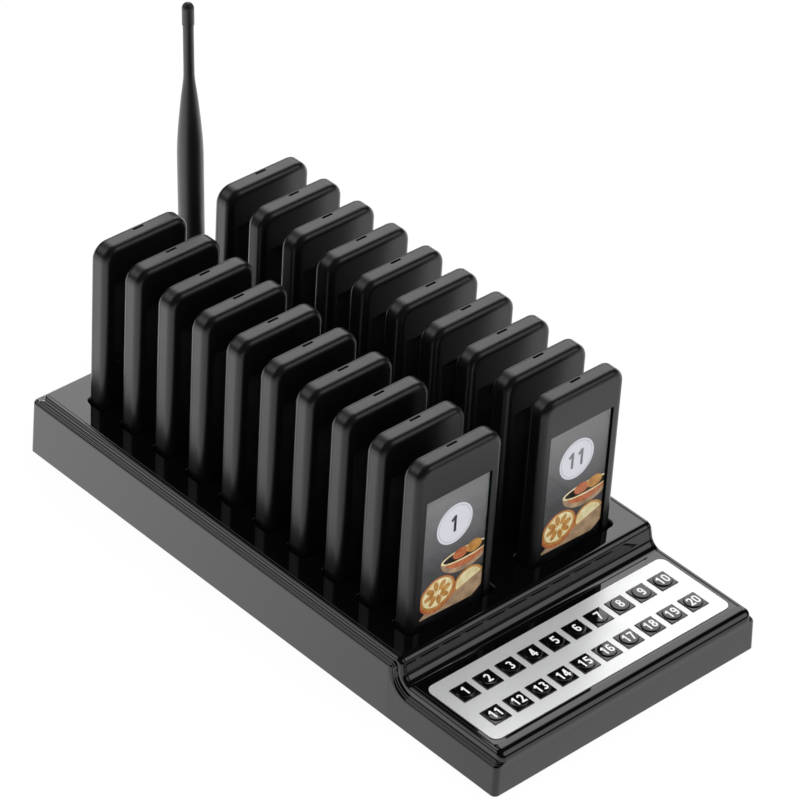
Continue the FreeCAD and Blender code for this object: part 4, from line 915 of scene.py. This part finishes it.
for number, (body, x, y) in enumerate(PAGERS, start=1):
    place = moved(x, y, PAGER_REST)
    on_card = moved(x, y + CARD_FRONT, PAGER_REST) @ STAND_UP
    on_disc = on_card @ moved(0, DISC_MIDDLE, 0)
    taken_apart, in_front = number == 1, number in FRONT_PAGERS
    add_piece(f"{body}_front", front_mesh, pager_black, body,
              replaces=["pager_01_front_shell"] if taken_apart else [body], slot="pager_plastic", at=place)
    # Pagers behind the front two get near-black copies of card and disc: painted shade between the pagers
    card = (card_mesh, card_print) if in_front else (dark_card_mesh, card_painted_shade)
    for name, (mesh, material), node_name, slot in (
            ("rear", (rear_mesh, pager_black), "pager_01_rear_shell", "pager_plastic"),
            ("pane", (pane_mesh, pane_clear), "pager_01_window", "clear_pane"),
            ("card", card, "pager_01_card", "printed_card")):
        add_piece(f"{body}_{name}", mesh, material, body, replaces=[node_name] if taken_apart else (),
                  slot=slot, at=place)
    # Behind the front two the disc is a near-black copy of the white one: painted shade
    disc = (disc_face, disc_white) if in_front else (disc_dim, disc_painted_shade)
    add_piece(f"{body}_disc", *disc, body, at=on_disc)
    if in_front:
        add_piece(f"{body}_disc_line", disc_rim, disc_line, body, at=on_disc @ moved(0, 0, DISC_THICK))
        for name, mesh, material in PICTURE:
            add_piece(f"{body}_{name}", mesh, material, body, at=on_card)
    add_piece(f"{body}_figures", number_mesh(str(number), CARD_FIGURES, 0.03),
              dark_print if number == 1 else grey_print, body, at=on_disc @ moved(0, 0, 0.035))

# Antenna
ANTENNA_FOOT, ANTENNA_LEAN = (29.5, 174.6, 18.8), -2.77
antenna_place = moved(*ANTENNA_FOOT) @ Matrix.Rotation(math.radians(ANTENNA_LEAN), 4, "Y")


def whip_mesh():
    """Straight rubber sleeve, a long soft taper, a thin neck and a cap, from radius and height."""
    profile = [(4.7, 6.0), (5.0, 6.1), (5.6, 7.4), (6.2, 8.8), (6.45, 9.8), (6.5, 11.0)]
    profile += [(6.5, 11.0 + 93.0 * i / 6) for i in range(1, 7)]
    profile += [(6.38, 109.0), (6.12, 114.0), (5.75, 119.0), (5.3, 124.5), (4.78, 130.0), (4.25, 135.3),
                (3.7, 140.0), (3.2, 144.0), (2.85, 147.2), (2.7, 150.0), (2.65, 160.0), (2.65, 170.0),
                (2.65, 177.9), (2.7, 178.1), (2.95, 178.2), (3.0, 178.5), (3.0, 186.6)]
    profile += [(3.0 * math.cos(t), 187.3 + 3.0 * math.sin(t)) for t in (0.0, 0.3, 0.6, 0.9, 1.2, 1.45, 1.55)]
    return turned_mesh("whip", profile, 48)


add_piece("whip_sleeve", whip_mesh(), antenna_black, "whip", replaces=["antenna_whip"], slot="antenna_rubber",
          at=antenna_place)

# Studio: a pale floor, a world that is white to the camera, and soft patches of light for the gloss
GLOSS_BELOW, GLOSS_ABOVE, WORLD_LIGHT = 0.5, 0.02, 0.75
# Floor: its glow in reflections at the front and at the back, its light and share to the camera
FLOOR_NEAR, FLOOR_FAR, FLOOR_SEEN, FLOOR_SHARE = 1.1, 2.1, 1.02, 0.92
# Each patch: its direction, the closeness at which it starts and at which it is full, its strength
SOFT_PATCHES = (
    ((0.567, 0.545, 0.618), 0.86, 0.95, 3.0),
    ((0.567, -0.65, 0.507), 0.93, 0.985, 1.8),
    ((-0.56, 0.572, 0.6), 0.93, 0.98, 2.0),
    ((-0.118, 0.572, 0.812), 0.96, 0.985, 0.7))


def soft_patch_group():
    """How far a direction lies inside a round patch of light with a soft edge."""
    tree, given, result = group("soft_patch", [
        ("Direction", VECTOR, (0, 0, 1)), ("Middle", VECTOR, (0, 0, 1)), ("Edge", FLOAT, 0.9),
        ("Full", FLOAT, 0.97), ("Light", FLOAT, 1.0)], [("Light", FLOAT)])
    closeness = node(tree, "ShaderNodeVectorMath", {0: given["Direction"], 1: given["Middle"]},
                     operation="DOT_PRODUCT")
    inside = node(tree, "ShaderNodeMapRange", interpolation_type="SMOOTHSTEP")
    feed(tree, inside, {"Value": closeness.outputs["Value"], "From Min": given["Edge"],
                        "From Max": given["Full"], "To Max": given["Light"]})
    feed(tree, result, {"Light": inside.outputs["Result"]})
    return tree


def show_by_ray(tree, output, glossy, direct, even, mirrored, seen):
    """Shows one shader to scattered rays, one to mirrored rays and one to direct rays."""
    first = node(tree, "ShaderNodeMixShader", {0: glossy, 1: even, 2: mirrored})
    second = node(tree, "ShaderNodeMixShader", {0: direct, 1: first.outputs["Shader"], 2: seen})
    node(tree, output, {"Surface": second.outputs["Shader"]})


def add_world():
    world = bpy.data.worlds.new("studio")
    bpy.context.scene.world = world
    world.use_nodes = True
    tree = world.node_tree
    tree.nodes.clear()
    path = node(tree, "ShaderNodeLightPath").outputs
    direction = node(tree, "ShaderNodeTexCoord").outputs["Generated"]
    patch = soft_patch_group()
    parts = node(tree, "ShaderNodeSeparateXYZ", {"Vector": direction})
    light = map_range(tree, parts.outputs["Z"], GLOSS_BELOW, GLOSS_ABOVE, -0.02, 0.02)
    for middle, edge, full, strength in SOFT_PATCHES:
        made = node(tree, "ShaderNodeGroup", node_tree=patch)
        feed(tree, made, {"Direction": direction, "Middle": middle, "Edge": edge, "Full": full,
                          "Light": strength})
        total = node(tree, "ShaderNodeMath", {0: light, 1: made.outputs["Light"]}, operation="ADD")
        light = total.outputs["Value"]
    direct = node(tree, "ShaderNodeMath", {0: path["Is Camera Ray"], 1: path["Is Transmission Ray"]},
                  operation="MAXIMUM")
    shaders = [node(tree, "ShaderNodeBackground", {"Color": (1, 1, 1, 1), "Strength": strength})
               for strength in (WORLD_LIGHT, light, 1.0)]
    show_by_ray(tree, "ShaderNodeOutputWorld", path["Is Glossy Ray"], direct.outputs["Value"],
                *[made.outputs["Background"] for made in shaders])


def add_floor():
    """White matte floor, white to the camera, and lit brighter towards the back in reflections."""
    bm = bmesh.new()
    bm.faces.new(ring(bm, box_outline(0, 0, 4000, 4000, 0)))
    mesh = bpy.data.meshes.new("floor")
    bm.to_mesh(mesh)
    bm.free()
    floor = bpy.data.objects.new("floor", mesh)
    bpy.context.collection.objects.link(floor)
    material = bpy.data.materials.new("floor_white")
    material.use_nodes = True
    tree = material.node_tree
    tree.nodes.clear()
    matte = node(tree, "ShaderNodeBsdfDiffuse", {"Color": (0.86, 0.86, 0.86, 1)})
    path = node(tree, "ShaderNodeLightPath").outputs
    parts = node(tree, "ShaderNodeSeparateXYZ", {"Vector": object_place(tree)})
    glow = map_range(tree, parts.outputs["Y"], FLOOR_NEAR, FLOOR_FAR, -0.2, 0.2)
    mirrored, seen = (node(tree, "ShaderNodeEmission", {"Strength": light}) for light in (glow, FLOOR_SEEN))
    share = node(tree, "ShaderNodeMath", {0: path["Is Camera Ray"], 1: FLOOR_SHARE}, operation="MULTIPLY")
    show_by_ray(tree, "ShaderNodeOutputMaterial", path["Is Glossy Ray"], share.outputs["Value"],
                matte.outputs["BSDF"], mirrored.outputs["Emission"], seen.outputs["Emission"])
    mesh.materials.append(material)


def add_lamp(name, place, target, width, height, power):
    data = bpy.data.lights.new(name, "AREA")
    data.shape, data.size, data.size_y, data.energy = "RECTANGLE", width, height, power
    lamp = bpy.data.objects.new(name, data)
    lamp.location = place
    lamp.rotation_euler = (Vector(target) - Vector(place)).to_track_quat("-Z", "Y").to_euler()
    lamp.visible_glossy = False
    bpy.context.collection.objects.link(lamp)


add_world()
add_floor()
add_lamp("overhead", (0.1, -0.2, 1.6), (0, 0, 0.05), 1.4, 1.4, 11)
add_lamp("front", (-0.9, -1.5, 0.9), (0, 0, 0.06), 0.9, 0.9, 4.5)

bpy.context.scene.view_settings.view_transform = "Standard"
